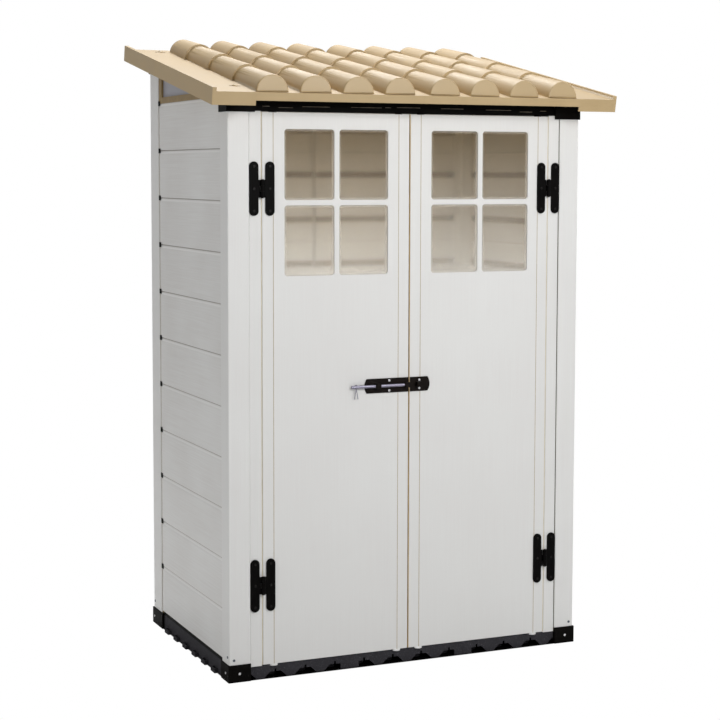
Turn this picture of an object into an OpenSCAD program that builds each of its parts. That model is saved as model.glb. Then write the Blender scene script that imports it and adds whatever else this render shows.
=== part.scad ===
// Garden shed with a single-slope tiled roof, plank walls and a pair of half-glazed doors.
// The origin is on the ground under the middle of the body. +X is right, -Y is the door side, +Z is up.

/* [Body] */
// Width over the corner posts
body_w = 1220; // [1180:10:1420]
// Depth over the corner posts
body_d = 800; // [760:10:1000]

/* [Floor] */
// Height of the floor's top face
floor_h = 50; // [47:1:56]
// Height of the low ledge under the doors
ledge_h = 42; // [38:1:44]
// Depth of the low ledge, from the front of the floor
ledge_d = 35; // [34:1:44]
// Gap from the side and rear of the body to the floor's edge
floor_inset = 4; // [3:0.5:8]
// Gap from the front of the body to the floor's edge
floor_front_inset = 9; // [7:0.5:14]
// Number of floor tiles across
tiles_across = 3; // [3:1:3]
// Thickness of a tile's top plate and skirts
tile_skin = 4; // [3:0.5:6]
// Height of the gap under the skirts where tiles meet
skirt_lift = 20; // [15:1:28]
// Diameter of the pegs under a tile
peg_d = 34; // [24:1:44]
// Pegs along each edge of a tile
peg_count = 4; // [3:1:5]
// Width of an arch in the front skirt, at the ground
arch_w = 78; // [60:1:84]
// Width of an arch at its top
arch_top_w = 36; // [24:1:44]
// Height of an arch
arch_h = 19; // [12:1:22]
// Width of the drain slot above an arch
arch_slot_w = 7; // [4:0.5:10]
// Height of the drain slot above an arch
arch_slot_h = 9; // [5:1:12]
// Half width of the solid foot at a joint between two tiles
arch_foot = 31; // [20:1:32]
// Width of the connecting loops along the floor's left and rear edges
loop_w = 40; // [30:1:50]
// Distance that the loops stand out
loop_reach = 12; // [8:1:13]
// Height of the loops
loop_h = 14; // [8:1:14]
// Thickness of the loops' walls
loop_wall = 4; // [3:0.5:5]
// Distance from a row of pegs to the loop beside it
loop_offset = 17; // [0:1:20]

/* [Corner joints] */
// Height of a bottom corner joint
bottom_corner_h = 55; // [53:1:66]
// Distance that the corner joints stand out from the posts
corner_proud = 4; // [2:0.5:6]
// Thickness of a top corner joint's walls
top_corner_wall = 3.7; // [2:0.1:5.5]
// Distance from the roof's front edge down to the lower edge of the front left top corner joint
top_corner_left_drop = 15; // [7:1:72]
// Distance from the roof's front edge down to the lower edge of the front right top corner joint
top_corner_right_drop = 23; // [7:1:72]
// Distance that the front top corner joints reach over the jambs
top_corner_reach = 18; // [8:1:24]
// Height of the part of a top corner joint that shows at the rear
rear_corner_h = 56; // [40:1:80]
// Length of the rear corner joint's side wall past the post
rear_corner_extra = 18; // [5:1:30]
// Length of the spigots inside the posts
spigot_h = 30; // [26:1:60]

/* [Posts] */
// Width of a corner post's face
post_w = 70; // [64:1:90]
// Depth of a rear corner post along the side wall
rear_post_d = 90; // [70:1:110]
// Wall thickness of the posts
post_wall = 2.4; // [1.8:0.1:3.5]
// Width of the post in the middle of the rear wall
centre_post_w = 40; // [36:1:60]
// Depth of the post in the middle of the rear wall
centre_post_d = 50; // [40:1:70]
// Depth that the planks reach into a post
plank_grip = 10; // [6:0.5:11]

/* [Walls] */
// Number of planks in a side wall
plank_count = 11; // [9:1:12]
// Height of one plank
plank_pitch = 158.5; // [140:0.5:160]
// Thickness of a plank
plank_t = 25; // [22:0.5:30]
// Wall thickness of the hollow planks
plank_skin = 2.2; // [1.6:0.1:3]
// Height of the bevel along a plank's upper edge
bevel_h = 15; // [8:1:20]
// Depth of the bevel
bevel_d = 2; // [1:0.5:3]
// Width of the tongue along a plank's top
tongue_w = 7; // [5:0.5:9]
// Height of the tongue
tongue_h = 7; // [4:0.5:10]
// Height of the sills that the planks stand on
sill_h = 11; // [8:0.5:14]
// Gap between a side wall's planks and the rear post
end_gap = 5.6; // [4:0.1:8]
// Height of the clips that close the plank joints at the rear post
clip_h = 16; // [10:1:22]
// Distance that these clips reach over the planks' ends
clip_lap = 12; // [4:0.5:20]
// Height of the groove along a plank's lower edges
joint_groove_h = 1.6; // [0.8:0.1:3]
// Depth of this groove
joint_groove_d = 5; // [3:0.5:6]

/* [Doors] */
// Width of the door jambs
jamb_w = 40; // [34:1:50]
// Distance from the posts' front face back to the door faces
door_setback = 4; // [3:0.5:6]
// Thickness of a door
door_t = 36; // [30:1:38]
// Gap between a door and its jamb, and above and below the doors
door_gap = 3; // [2.5:0.1:4]
// Gap between the two doors
meeting_gap = 5; // [5:0.1:7]
// Distance from the roof's front edge down to the lintel's lower edge
lintel_drop = 12; // [7:1:72]
// Width of the upright stiles of a door
stile_w = 36; // [30:1:46]
// Wall thickness of stiles and jambs
stile_wall = 3; // [2:0.1:4]
// Thickness of the door's face sheet
sheet_t = 4; // [3:0.1:5]
// Depth of the ribs behind the face sheet
rib_d = 20; // [14:1:26]
// Thickness of the ribs
rib_t = 3; // [2:0.1:4]
// Spacing of the level ribs
rib_pitch = 190; // [150:5:200]
// Spacing of the shallow slots along the lintel's face
lintel_slot_pitch = 80; // [60:1:120]
// Length of one of these slots
lintel_slot_l = 60; // [20:1:80]
// Width of the rounded caps under and over the door joints
cap_w = 28; // [20:1:32]
// Height of these caps
cap_h = 6; // [4:0.5:7]

/* [Windows] */
// Distance from a door's stiles to its panes
pane_margin = 36.5; // [28:0.5:60]
// Height of a pane's opening
pane_h = 217.5; // [180:0.5:240]
// Width of the bars between the panes
bar_w = 16; // [14:0.5:22]
// Distance from the top of a door to the panes
pane_drop = 50; // [30:1:120]
// Corner radius of the panes' openings
pane_r = 10; // [4:1:20]
// Thickness of the panes
pane_t = 3; // [2:0.1:4]
// Distance that a pane reaches behind the sheet
pane_lap = 4; // [3:0.1:5]

/* [Hinges] */
// Height of a hinge
hinge_h = 165; // [120:1:190]
// Width of a hinge's upright bars
hinge_bar_w = 29; // [22:1:29]
// Thickness of the hinge leaves
hinge_t = 5; // [3:0.5:6]
// Distance from the hinge axis to the middle of a bar
hinge_reach = 26; // [24:0.5:30]
// Height of the hinge's middle web
hinge_web_h = 54; // [40:1:70]
// Outer radius of a knuckle
knuckle_r = 7; // [6:0.1:7]
// Radius of a hinge pin
hinge_pin_r = 3; // [2:0.1:4]
// Distance from the door faces forward to the hinge axis
hinge_axis_out = 7.5; // [7.3:0.1:9]
// Height of the lower hinges' middle
hinge_low_z = 297; // [200:1:500]
// Distance from a door's top down to the middle of its upper hinge
hinge_drop = 232; // [117:1:450]

/* [Latch] */
// Height of the latch rod's axis
latch_z = 902; // [750:1:1050]
// Height of the latch plates
latch_h = 46; // [38:1:60]
// Length of the latch plate on the left door
latch_l = 153; // [140:1:180]
// Length of the keeper plate on the right door
keeper_l = 69; // [60:1:90]
// Thickness of the latch plates
latch_t = 3; // [2:0.1:4]
// Radius of the latch rod
rod_r = 5; // [4:0.1:6]
// Clearance round the rod
rod_gap = 0.6; // [0.5:0.1:0.9]
// Length of the latch rod
rod_l = 199; // [190:1:230]
// Travel of the latch rod between drawn and locked
rod_travel = 62; // [62:1:70]
// Width of the bridges over the rod
bridge_w = 18; // [12:0.5:20]
// Wall thickness of the bridges
bridge_t = 2.5; // [2:0.1:4]
// Distance from the latch plate's end to its first bridge
bridge_inset = 34; // [24:1:40]
// Distance from the keeper plate's inner end to its bridge
keeper_bridge_inset = 19; // [10:1:24]
// Distance from the latch plate's end to its screws
latch_screw_inset = 85; // [70:1:100]
// Distance between the latch plate's screws and the rod's axis
latch_screw_dz = 16; // [13:0.5:18]
// Distance from the rod's end to the split pin
pin_inset = 16; // [10:1:20]
// Radius of the split pin's wire
pin_wire_r = 1.2; // [0.8:0.1:1.4]
// Length of the split pin's legs
pin_leg_l = 33; // [20:1:40]
// Angle between a leg of the split pin and the vertical
pin_leg_angle = 11; // [4:1:14]

/* [Roof] */
// Slope of the roof in degrees
roof_pitch = 11; // [8:0.5:13]
// Overhang past each side of the body
roof_side = 80; // [60:1:110]
// Overhang past the front of the body
roof_front = 95; // [70:1:110]
// Overhang past the rear of the body
roof_rear = 39.5; // [36:0.5:60]
// Height of the side walls' top above the roof's lower front edge
roof_edge_drop = 32.5; // [5:0.5:32.5]
// Height of the roof's deep edges
fascia_h = 52; // [44:1:60]
// Thickness of the side edges
fascia_t = 12; // [8:0.5:16]
// Height of the side edges above the deck
lip_h = 12; // [6:0.5:16]
// Thickness of the roof deck
deck_t = 5; // [4:0.5:7]
// Height of the shallow front edge between the corners
front_edge_h = 25; // [15:1:36]
// Length of the deep front edge at each corner
corner_l = 137; // [100:1:150]
// Number of tile columns in each half of the roof
columns = 4; // [4:1:4]
// Spacing of the tile columns
column_pitch = 140; // [130:1:146]
// Distance from the middle of the roof to the first column
first_column = 77; // [72:1:82]
// Radius of a tile at its lower end
tile_low_r = 52; // [46:0.5:52]
// Radius of a tile at its upper end
tile_high_r = 45; // [42:0.5:45]
// Length of one course of tiles
course_l = 240; // [220:5:240]
// Number of courses
courses = 4; // [3:1:4]
// Distance from the front edge to the first course
course_start = 12; // [8:1:30]
// Angle that the closed ends of the tile columns lean back
end_lean = 11; // [0:1:20]
// Distance from the rear edge to the last course
course_end = 42; // [30:1:60]
// Thickness of the closed ends of the tile columns
column_end_t = 6; // [4:0.5:10]
// Width of the beam under the joint of the roof's halves
beam_w = 40; // [30:1:48]
// Depth of this beam
beam_h = 36; // [24:1:44]
// Height of the rear wall's top rail above the top of the side walls
rear_rail_rise = 120.5; // [100:0.5:125.5]

/* [Gables] */
// Height of the gable frame's lower rail
gable_rail_h = 20; // [14:1:24]
// Width of the gable frame's upright ends
gable_stile_w = 27; // [20:1:40]
// Depth of the gable frame's sloping top rail
gable_top_h = 13; // [8:1:14]
// Thickness of the gable panel
gable_panel_t = 6; // [4:0.5:10]

/* [Screws] */
// Radius of a small screw's shank
screw_r = 2; // [1.5:0.1:2.4]
// Radius of a small screw's head
screw_head_r = 4; // [3:0.1:4.5]
// Height of a small screw's head
screw_head_h = 1.8; // [1:0.1:2.4]
// Length of a small screw's shank
screw_l = 11; // [9:0.5:12]
// Radius of a roof screw's shank
roof_screw_r = 2.5; // [2:0.1:3]
// Radius of a roof screw's cap
roof_screw_cap_r = 8; // [7:0.1:9]
// Distance from the body's side in to the outer roof screws
roof_screw_side = 31; // [24:1:40]
// Distance from the body's front in to the front roof screws
roof_screw_front = 26; // [20:1:34]
// Distance from the body's rear in to the rear roof screws
roof_screw_rear = 14; // [10:1:18]
// Distance from the roof's joint to the roof screws beside it
roof_screw_joint = 13; // [11:0.5:16]
// Length of a roof screw's shank in the frame
roof_screw_l = 14; // [10:1:20]
// Length of the slots for the screws beside the roof's joint
centre_slot_l = 16; // [12:1:20]
// Length of the slots for the roof screws
roof_slot_l = 36; // [26:1:44]
// Width of the slots for the roof screws
roof_slot_w = 10; // [8:0.5:11]

/* [Clearances] */
// Gap between fitted pieces
fit_gap = 0.3; // [0.2:0.05:0.4]
// Radial gap round a hinge pin
pin_gap = 0.05; // [0.03:0.01:0.1]
// Radial gap round a screw
screw_gap = 0.2; // [0.1:0.05:0.3]
// Gap between parts that pass each other when they move
run_gap = 0.6; // [0.5:0.1:0.8]

/* [Hidden] */
$fn = 48;
eps = 0.01;
big = 4000;
left_x = -body_w / 2;
front_y = -body_d / 2;
rear_y = body_d / 2;

// Floor
floor_x = left_x + floor_inset;
floor_y0 = front_y + floor_front_inset;
floor_y1 = rear_y - floor_inset;
tile_w = (body_w - 2 * floor_inset) / tiles_across;
tile_d = (floor_y1 - floor_y0) / 2;
peg_pitch_x = tile_w / peg_count;
peg_pitch_y = tile_d / peg_count;

// Walls
wall_z = floor_h + sill_h;
wall_top_z = wall_z + plank_count * plank_pitch;
wall_x = left_x + post_wall + fit_gap;
rear_wall_y = rear_y - post_wall - fit_gap;
plank_front_y = front_y + post_w - plank_grip;
plank_rear_y = rear_y - rear_post_d - end_gap;
slot_w = plank_t + 2 * fit_gap;
sill_w = plank_t + 2;

// Roof plane: height at y of the plane that lies n above the lower face of the deep edges
roof_w = body_w + 2 * roof_side;
roof_y0 = front_y - roof_front;
roof_l = (body_d + roof_front + roof_rear) / cos(roof_pitch);
deck_top = fascia_h - lip_h;
deck_under = deck_top - deck_t;
roof_edge_z = wall_top_z - roof_edge_drop;
lintel_z = roof_edge_z - lintel_drop;
rear_rail_z = wall_top_z + rear_rail_rise;
function roof_z(y, n) = roof_edge_z + (y - roof_y0) * tan(roof_pitch) + n / cos(roof_pitch);
function slope_at(y) = (y - roof_y0) / cos(roof_pitch);

// Posts and corner joints
front_post_top = roof_z(front_y, deck_under) - 14;
rear_post_top = roof_z(rear_y - rear_post_d, deck_under) - 14;
rear_corner_z = roof_z(rear_y - rear_post_d, deck_under) - rear_corner_h;

// Doors
door_y = front_y + door_setback;
jamb_x = left_x + post_w;
door_x0 = jamb_x + jamb_w + door_gap;
door_x1 = -meeting_gap / 2;
door_z0 = ledge_h + door_gap;
door_z1 = lintel_z - door_gap;
jamb_t = door_t + 2;
panel_x0 = door_x0 + stile_w + fit_gap;
panel_x1 = door_x1 - stile_w - fit_gap;
panel_mid = (panel_x0 + panel_x1) / 2;
pane_top = door_z1 - pane_drop;
pane_w = (panel_x1 - panel_x0 - 2 * pane_margin - bar_w) / 2;
field_w = 2 * pane_w + bar_w;
field_h = 2 * pane_h + bar_w;
field_z0 = pane_top - field_h;
surround_t = 4;
lintel_y = front_y + floor_front_inset;

// Hinges
axis_x = door_x0 - door_gap / 2;
axis_y = door_y - hinge_axis_out;
hinge_zs = [hinge_low_z, door_z1 - hinge_drop];
knuckle_third = hinge_web_h / 3;
hinge_screw_dz = hinge_h / 2 - hinge_bar_w / 2;

// Latch
latch_y = door_y - latch_t;
rod_y = latch_y - rod_r - 2;
tunnel_half = rod_r + rod_gap;
rod_tip_x = door_x1 - 2;
latch_x0 = door_x1 - latch_l - fit_gap;
keeper_x0 = meeting_gap / 2 + fit_gap;
bridge_xs = [latch_x0 + bridge_inset, door_x1 - bridge_w - fit_gap];
keeper_bridge_x = keeper_x0 + keeper_bridge_inset;
pin_x = rod_tip_x - rod_l + pin_inset;
plate_arc_r = 37;
latch_screw_x = latch_x0 + latch_screw_inset;
keeper_screw_dz = rod_r + rod_gap + bridge_t + 5;

// Roof screws
roof_screw_x = body_w / 2 - roof_screw_side;
centre_screw_x = roof_screw_joint;
roof_screw_ys = [front_y + roof_screw_front, rear_y - roof_screw_rear];

// Shared shapes

module flip() {
    mirror([1, 0, 0]) children();
}

module box(x0, x1, y0, y1, z0, z1) {
    translate([x0, y0, z0]) cube([x1 - x0, y1 - y0, z1 - z0]);
}

// A frame in the roof's own directions: y runs up the slope and z square to it
module on_slope() {
    translate([0, roof_y0, roof_edge_z]) rotate([roof_pitch, 0, 0]) children();
}

// Everything above the underside of the deck
module above_deck() {
    on_slope() translate([-big / 2, -big / 2, deck_under]) cube([big, big, big]);
}

module below_deck() {
    difference() {
        children();
        above_deck();
    }
}

// A hollow square section with open ends
module tube(x0, x1, y0, y1, z0, z1, wall) {
    difference() {
        box(x0, x1, y0, y1, z0, z1);
        box(x0 + wall, x1 - wall, y0 + wall, y1 - wall, z0 - 1, z1 + 1);
    }
}

// A cylinder that starts at a point and runs back along +Y
module rod_back(x, y, z, r, l) {
    translate([x, y, z]) rotate([-90, 0, 0]) cylinder(r = r, h = l);
}

// A cylinder that starts at a point and runs along +X
module rod_right(x, y, z, r, l) {
    translate([x, y, z]) rotate([0, 90, 0]) cylinder(r = r, h = l);
}

module screw_back(x, y, z) {
    rod_back(x, y - screw_head_h, z, screw_head_r, screw_head_h);
    rod_back(x, y - screw_head_h / 2, z, screw_r, screw_head_h / 2 + screw_l);
}

module screw_right(x, y, z) {
    rod_right(x - screw_head_h, y, z, screw_head_r, screw_head_h);
    rod_right(x - screw_head_h / 2, y, z, screw_r, screw_head_h / 2 + screw_l);
}

module rounded_rect(w, h, r) {
    translate([-w / 2 + r, -h / 2]) square([w - 2 * r, h]);
    translate([-w / 2, -h / 2 + r]) square([w, h - 2 * r]);
    for (sx = [-1, 1], sz = [-1, 1])
        translate([sx * (w / 2 - r), sz * (h / 2 - r)]) circle(r = r);
}

// Floor

// An arch with its drain slot, seen from outside the skirt
module arch_shape(x) {
    polygon([
        [x - arch_w / 2, -1], [x + arch_w / 2, -1],
        [x + arch_top_w / 2, arch_h], [x - arch_top_w / 2, arch_h]
    ]);
    translate([x - arch_slot_w / 2, 0]) square([arch_slot_w, arch_h + arch_slot_h]);
}

// An arch in the front skirt, kept clear of the feet at x0 and x1
module arch(x, x0, x1) {
    rotate([90, 0, 0]) mirror([0, 0, 1]) translate([0, 0, floor_y0 - 1])
        linear_extrude(tile_skin + 2) intersection() {
            arch_shape(x);
            translate([x0, -1]) square([x1 - x0, ledge_h]);
        }
}

// An arch in the right skirt
module side_arch(y, x1) {
    translate([x1 - tile_skin - 1, 0, 0]) rotate([90, 0, 90]) linear_extrude(tile_skin + 2) arch_shape(y);
}

// A loop that holds the next tile, standing out to the left of x0
module left_loop(x0, y) {
    difference() {
        box(x0 - loop_reach, x0 + eps, y - loop_w / 2, y + loop_w / 2, 0, loop_h);
        box(x0 - loop_reach + loop_wall, x0 + 1, y - loop_w / 2 + loop_wall, y + loop_w / 2 - loop_wall,
            -1, loop_h + 1);
    }
}

module rear_loop(x, y1) {
    difference() {
        box(x - loop_w / 2, x + loop_w / 2, y1 - eps, y1 + loop_reach, 0, loop_h);
        box(x - loop_w / 2 + loop_wall, x + loop_w / 2 - loop_wall, y1 - 1, y1 + loop_reach - loop_wall,
            -1, loop_h + 1);
    }
}

// The floor's outer skirts reach the ground. Loops stand out between the corner joints
module outer_skirts(column, row, x0, x1, y0, y1) {
    y_low = front_y + post_w + loop_w / 2 + 2;
    y_high = rear_y - rear_post_d - rear_corner_extra - loop_w / 2 - 2;
    x_high = -left_x - post_w - loop_w / 2 - 2;
    if (column == 0) {
        box(x0, x0 + tile_skin, y0, y1, 0, skirt_lift + eps);
        for (i = [0 : peg_count - 1]) {
            y = floor_y0 + (row * peg_count + i + 0.5) * peg_pitch_y - loop_offset;
            if (y > y_low && y < y_high) left_loop(x0, y);
        }
    }
    if (column == tiles_across - 1)
        box(x1 - tile_skin, x1, y0, y1, 0, skirt_lift + eps);
    if (row == 1) {
        box(x0, x1, y1 - tile_skin, y1, 0, skirt_lift + eps);
        for (i = [0 : peg_count - 1]) {
            x = floor_x + (column * peg_count + i + 0.5) * peg_pitch_x - loop_offset;
            if (abs(x) < x_high) rear_loop(x, y1);
        }
    }
}

module tile_pegs(x0, y0, top) {
    for (i = [0 : peg_count - 1], j = [0 : peg_count - 1])
        translate([x0 + (i + 0.5) * peg_pitch_x, y0 + (j + 0.5) * peg_pitch_y, 0])
            cylinder(d = peg_d, h = top - tile_skin / 2);
}

module floor_tile(column, row) {
    x0 = floor_x + column * tile_w + (column > 0 ? fit_gap / 2 : 0);
    x1 = floor_x + (column + 1) * tile_w - (column < tiles_across - 1 ? fit_gap / 2 : 0);
    y0 = row == 0 ? floor_y0 : floor_y0 + tile_d + fit_gap / 2;
    y1 = row == 0 ? floor_y0 + tile_d - fit_gap / 2 : floor_y1;
    plate_y = row == 0 ? floor_y0 + ledge_d : y0;
    color("dimgray") difference() {
        union() {
            difference() {
                box(x0, x1, plate_y, y1, skirt_lift, floor_h);
                box(x0 + tile_skin, x1 - tile_skin, plate_y + tile_skin, y1 - tile_skin,
                    0, floor_h - tile_skin);
            }
            if (row == 0) {
                difference() {
                    box(x0, x1, y0, plate_y + eps, 0, ledge_h);
                    box(x0 + tile_skin, x1 - tile_skin, y0 + tile_skin, plate_y + 1, -1, ledge_h - tile_skin);
                    box(x0 - 1, x1 + 1, y0 + tile_skin, plate_y + 1, -1, skirt_lift);
                }
            }
            intersection() {
                tile_pegs(x0, row == 0 ? floor_y0 : floor_y0 + tile_d, ledge_h);
                box(x0, x1, y0, y1, 0, floor_h);
            }
            tile_peg_necks(x0, row);
            if (row == 0)
                box((x0 + x1) / 2 - arch_foot, (x0 + x1) / 2 + arch_foot,
                    y1 - tile_skin, y1, 0, skirt_lift + eps);
            outer_skirts(column, row, x0, x1, y0, y1);
        }
        mirror([column == 0 ? 0 : 1, 0, 0]) corner_screw_holes(row == 0);
        if (row == 0)
            for (i = [0 : peg_count - 1])
                arch(floor_x + (column * peg_count + i + 0.5) * peg_pitch_x,
                    floor_x + column * tile_w + arch_foot, floor_x + (column + 1) * tile_w - arch_foot);
        if (column == tiles_across - 1)
            for (i = [0 : peg_count - 1])
                side_arch(floor_y0 + (row * peg_count + i + 0.5) * peg_pitch_y, x1);
    }
}

// The pegs under the full-height plate reach up to it
module tile_peg_necks(x0, row) {
    y0 = row == 0 ? floor_y0 : floor_y0 + tile_d;
    for (i = [0 : peg_count - 1], j = [(row == 0 ? 1 : 0) : peg_count - 1])
        translate([x0 + (i + 0.5) * peg_pitch_x, y0 + (j + 0.5) * peg_pitch_y, skirt_lift])
            cylinder(d = peg_d, h = floor_h - tile_skin / 2 - skirt_lift);
}

module floor_tile_front_left() { floor_tile(0, 0); }
module floor_tile_front_middle() { floor_tile(1, 0); }
module floor_tile_front_right() { floor_tile(2, 0); }
module floor_tile_rear_left() { floor_tile(0, 1); }
module floor_tile_rear_middle() { floor_tile(1, 1); }
module floor_tile_rear_right() { floor_tile(2, 1); }

// Corner joints and posts

corner_screw_z = bottom_corner_h / 2;
post_screw_z = bottom_corner_h + 15;

// Holes for the screws of a bottom corner and of the post above it
module corner_screw_holes(at_front) {
    s = at_front ? 1 : -1;
    y = at_front ? front_y : rear_y;
    r = screw_r + screw_gap;
    l = screw_l + corner_proud + 2;
    for (p = [[left_x + 32, corner_screw_z, corner_proud], [left_x + 15, post_screw_z, 0]])
        translate([p[0], y - s * (p[2] + 1), p[1]]) rotate([-s * 90, 0, 0]) cylinder(r = r, h = l);
    rod_right(left_x - corner_proud - 1, y + s * 23, corner_screw_z, r, l);
    rod_right(left_x - 1, y + s * 15, post_screw_z + 8, r, l);
}

module bottom_corner_front_blank() {
    x = left_x - corner_proud;
    y = front_y - corner_proud;
    box(x, floor_x - fit_gap, y, front_y + post_w, 0, bottom_corner_h);
    box(x, left_x + post_w, y, floor_y0 - fit_gap, 0, bottom_corner_h);
    box(x, left_x + post_w, y, front_y + post_w, floor_h + fit_gap, bottom_corner_h);
    box(left_x + post_wall + 0.4, left_x + post_w - post_wall - 0.4,
        front_y + post_wall + 0.4, plank_front_y - 3, floor_h + 1, bottom_corner_h + spigot_h);
}

module bottom_corner_rear_blank() {
    x = left_x - corner_proud;
    y = rear_y + corner_proud;
    side_y = rear_y - rear_post_d - rear_corner_extra;
    box(x, floor_x - fit_gap, side_y, y, 0, bottom_corner_h);
    box(x, left_x + post_w, floor_y1 + fit_gap, y, 0, bottom_corner_h);
    box(x, left_x + post_w, rear_y - rear_post_d, y, floor_h + fit_gap, bottom_corner_h);
    box(left_x + post_wall + 0.4, left_x + post_w - plank_grip - 4,
        rear_y - rear_post_d + post_wall + 0.4, rear_y - post_wall - 0.4,
        floor_h + 1, bottom_corner_h + spigot_h);
}

module bottom_corner(at_front) {
    color("#1c1b19") difference() {
        if (at_front) bottom_corner_front_blank();
        else bottom_corner_rear_blank();
        corner_screw_holes(at_front);
    }
}

module bottom_corner_front_left() { bottom_corner(true); }
module bottom_corner_front_right() { flip() bottom_corner(true); }
module bottom_corner_rear_left() { bottom_corner(false); }
module bottom_corner_rear_right() { flip() bottom_corner(false); }

module post_front() {
    color("whitesmoke") difference() {
        tube(left_x, left_x + post_w, front_y, front_y + post_w, bottom_corner_h, front_post_top, post_wall);
        box(left_x + post_wall, left_x + post_wall + slot_w,
            plank_front_y, front_y + post_w + 1, bottom_corner_h - 1, front_post_top + 1);
        corner_screw_holes(true);
    }
}

module post_rear() {
    color("whitesmoke") difference() {
        tube(left_x, left_x + post_w, rear_y - rear_post_d, rear_y,
            bottom_corner_h, rear_post_top, post_wall);
        box(left_x + post_w - plank_grip, left_x + post_w + 1,
            rear_y - post_wall - slot_w, rear_y - post_wall, bottom_corner_h - 1, rear_post_top + 1);
        corner_screw_holes(false);
    }
}

module post_front_left() { post_front(); }
module post_front_right() { flip() post_front(); }
module post_rear_left() { post_rear(); }
module post_rear_right() { flip() post_rear(); }

module post_rear_centre() {
    hw = centre_post_w / 2;
    color("whitesmoke") difference() {
        tube(-hw, hw, rear_y - centre_post_d, rear_y, floor_h, rear_rail_z, post_wall);
        for (s = [-1, 1])
            box(s > 0 ? hw - plank_grip : -hw - 1, s > 0 ? hw + 1 : -hw + plank_grip,
                rear_y - post_wall - slot_w, rear_y - post_wall, floor_h - 1, rear_rail_z + 1);
    }
}

// Walls

// The side walls stand on the two outer sills, the rear wall on the two sills behind
module wall_sills() {
    color("#1c1b19") {
        for (s = [0, 1])
            mirror([s, 0, 0]) {
                box(floor_x, wall_x + plank_t, front_y + post_w + fit_gap,
                    rear_y - rear_post_d - rear_corner_extra, floor_h, wall_z);
                box(left_x + post_w + fit_gap, -centre_post_w / 2 - fit_gap,
                    rear_wall_y - plank_t, floor_y1, floor_h, wall_z);
            }
    }
}

// Section of a plank: x runs inward from the outer face, y runs up
module plank_section(h, tongue) {
    mid = plank_t / 2;
    groove = tongue_w / 2 + 0.4;
    top = tongue ? h + tongue_h : h;
    inner_low = tongue_h + 1 + plank_skin;
    inner_high = h - bevel_h - plank_skin;
    half = (inner_low + inner_high) / 2;
    difference() {
        polygon([
            [0, joint_groove_h], [0, h - bevel_h], [bevel_d, h],
            [mid - tongue_w / 2, h], [mid - tongue_w / 2, top],
            [mid + tongue_w / 2, top], [mid + tongue_w / 2, h],
            [plank_t, h], [plank_t, joint_groove_h],
            [plank_t - joint_groove_d, joint_groove_h], [plank_t - joint_groove_d, 0],
            [mid + groove, 0], [mid + groove, tongue_h + 0.6],
            [mid - groove, tongue_h + 0.6], [mid - groove, 0],
            [joint_groove_d, 0], [joint_groove_d, joint_groove_h]
        ]);
        translate([plank_skin, inner_low])
            square([plank_t - 2 * plank_skin, half - plank_skin / 2 - inner_low]);
        translate([plank_skin, half + plank_skin / 2])
            square([plank_t - 2 * plank_skin, inner_high - half - plank_skin / 2]);
    }
}

module side_planks() {
    color("whitesmoke")
        for (i = [0 : plank_count - 1])
            translate([wall_x, plank_rear_y, wall_z + i * plank_pitch]) rotate([90, 0, 0])
                linear_extrude(plank_rear_y - plank_front_y)
                    plank_section(plank_pitch, i < plank_count - 1);
}

module rear_planks() {
    x0 = left_x + post_w - plank_grip;
    x1 = -centre_post_w / 2 + plank_grip;
    color("whitesmoke")
        for (i = [0 : plank_count])
            translate([x1, rear_wall_y, wall_z + i * plank_pitch]) rotate([90, 0, -90])
                linear_extrude(x1 - x0)
                    plank_section(i < plank_count ? plank_pitch : rear_rail_z - wall_top_z, i < plank_count);
}

module left_wall_planks() { side_planks(); }
module right_wall_planks() { flip() side_planks(); }
module rear_left_planks() { rear_planks(); }
module rear_right_planks() { flip() rear_planks(); }

// Strips that fill the gap between the side planks and the rear posts
module wall_end_strips() {
    color("#a08a60")
        for (s = [0, 1])
            mirror([s, 0, 0]) below_deck()
                box(wall_x + 1, wall_x + plank_t, plank_rear_y + fit_gap,
                    rear_y - rear_post_d - fit_gap, floor_h, roof_z(rear_y, deck_top));
}

// Each clip fills the gap beside the rear post and laps over the planks' ends
module plank_joint_clips() {
    color("#1c1b19")
        for (s = [0, 1], i = [1 : plank_count])
            mirror([s, 0, 0]) {
                z0 = wall_z + i * plank_pitch - clip_h / 2;
                box(left_x + 0.6, wall_x + 1 - fit_gap,
                    plank_rear_y + fit_gap, rear_y - rear_post_d - fit_gap, z0, z0 + clip_h);
                box(left_x + 0.6, wall_x - fit_gap,
                    plank_rear_y - clip_lap, plank_rear_y + fit_gap + eps, z0, z0 + clip_h);
            }
}

// Top frame

module roof_screw_holes() {
    for (s = [-1, 1], x = [roof_screw_x, centre_screw_x], y = roof_screw_ys)
        on_slope() translate([s * x, slope_at(y), deck_under - roof_screw_l])
            cylinder(r = roof_screw_r + screw_gap, h = roof_screw_l + 1);
}

module top_corner_front(lower_z) {
    x = left_x - corner_proud;
    y = front_y - corner_proud;
    top = roof_z(rear_y, deck_top);
    color("#1c1b19") difference() {
        below_deck() union() {
            box(x, x + top_corner_wall, y, front_y + post_w, lower_z, top);
            box(x, left_x + post_w + top_corner_reach, y, y + top_corner_wall, lower_z, top);
            box(left_x + post_w + fit_gap, left_x + post_w + top_corner_reach,
                y, door_y - fit_gap, lower_z, top);
            box(x, left_x + post_w, y, front_y + post_w, front_post_top, top);
            box(left_x + post_wall + 0.4, left_x + post_w - post_wall - 0.4,
                front_y + post_wall + 0.4, plank_front_y - 3,
                front_post_top - spigot_h, front_post_top + eps);
        }
        roof_screw_holes();
    }
}

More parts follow.
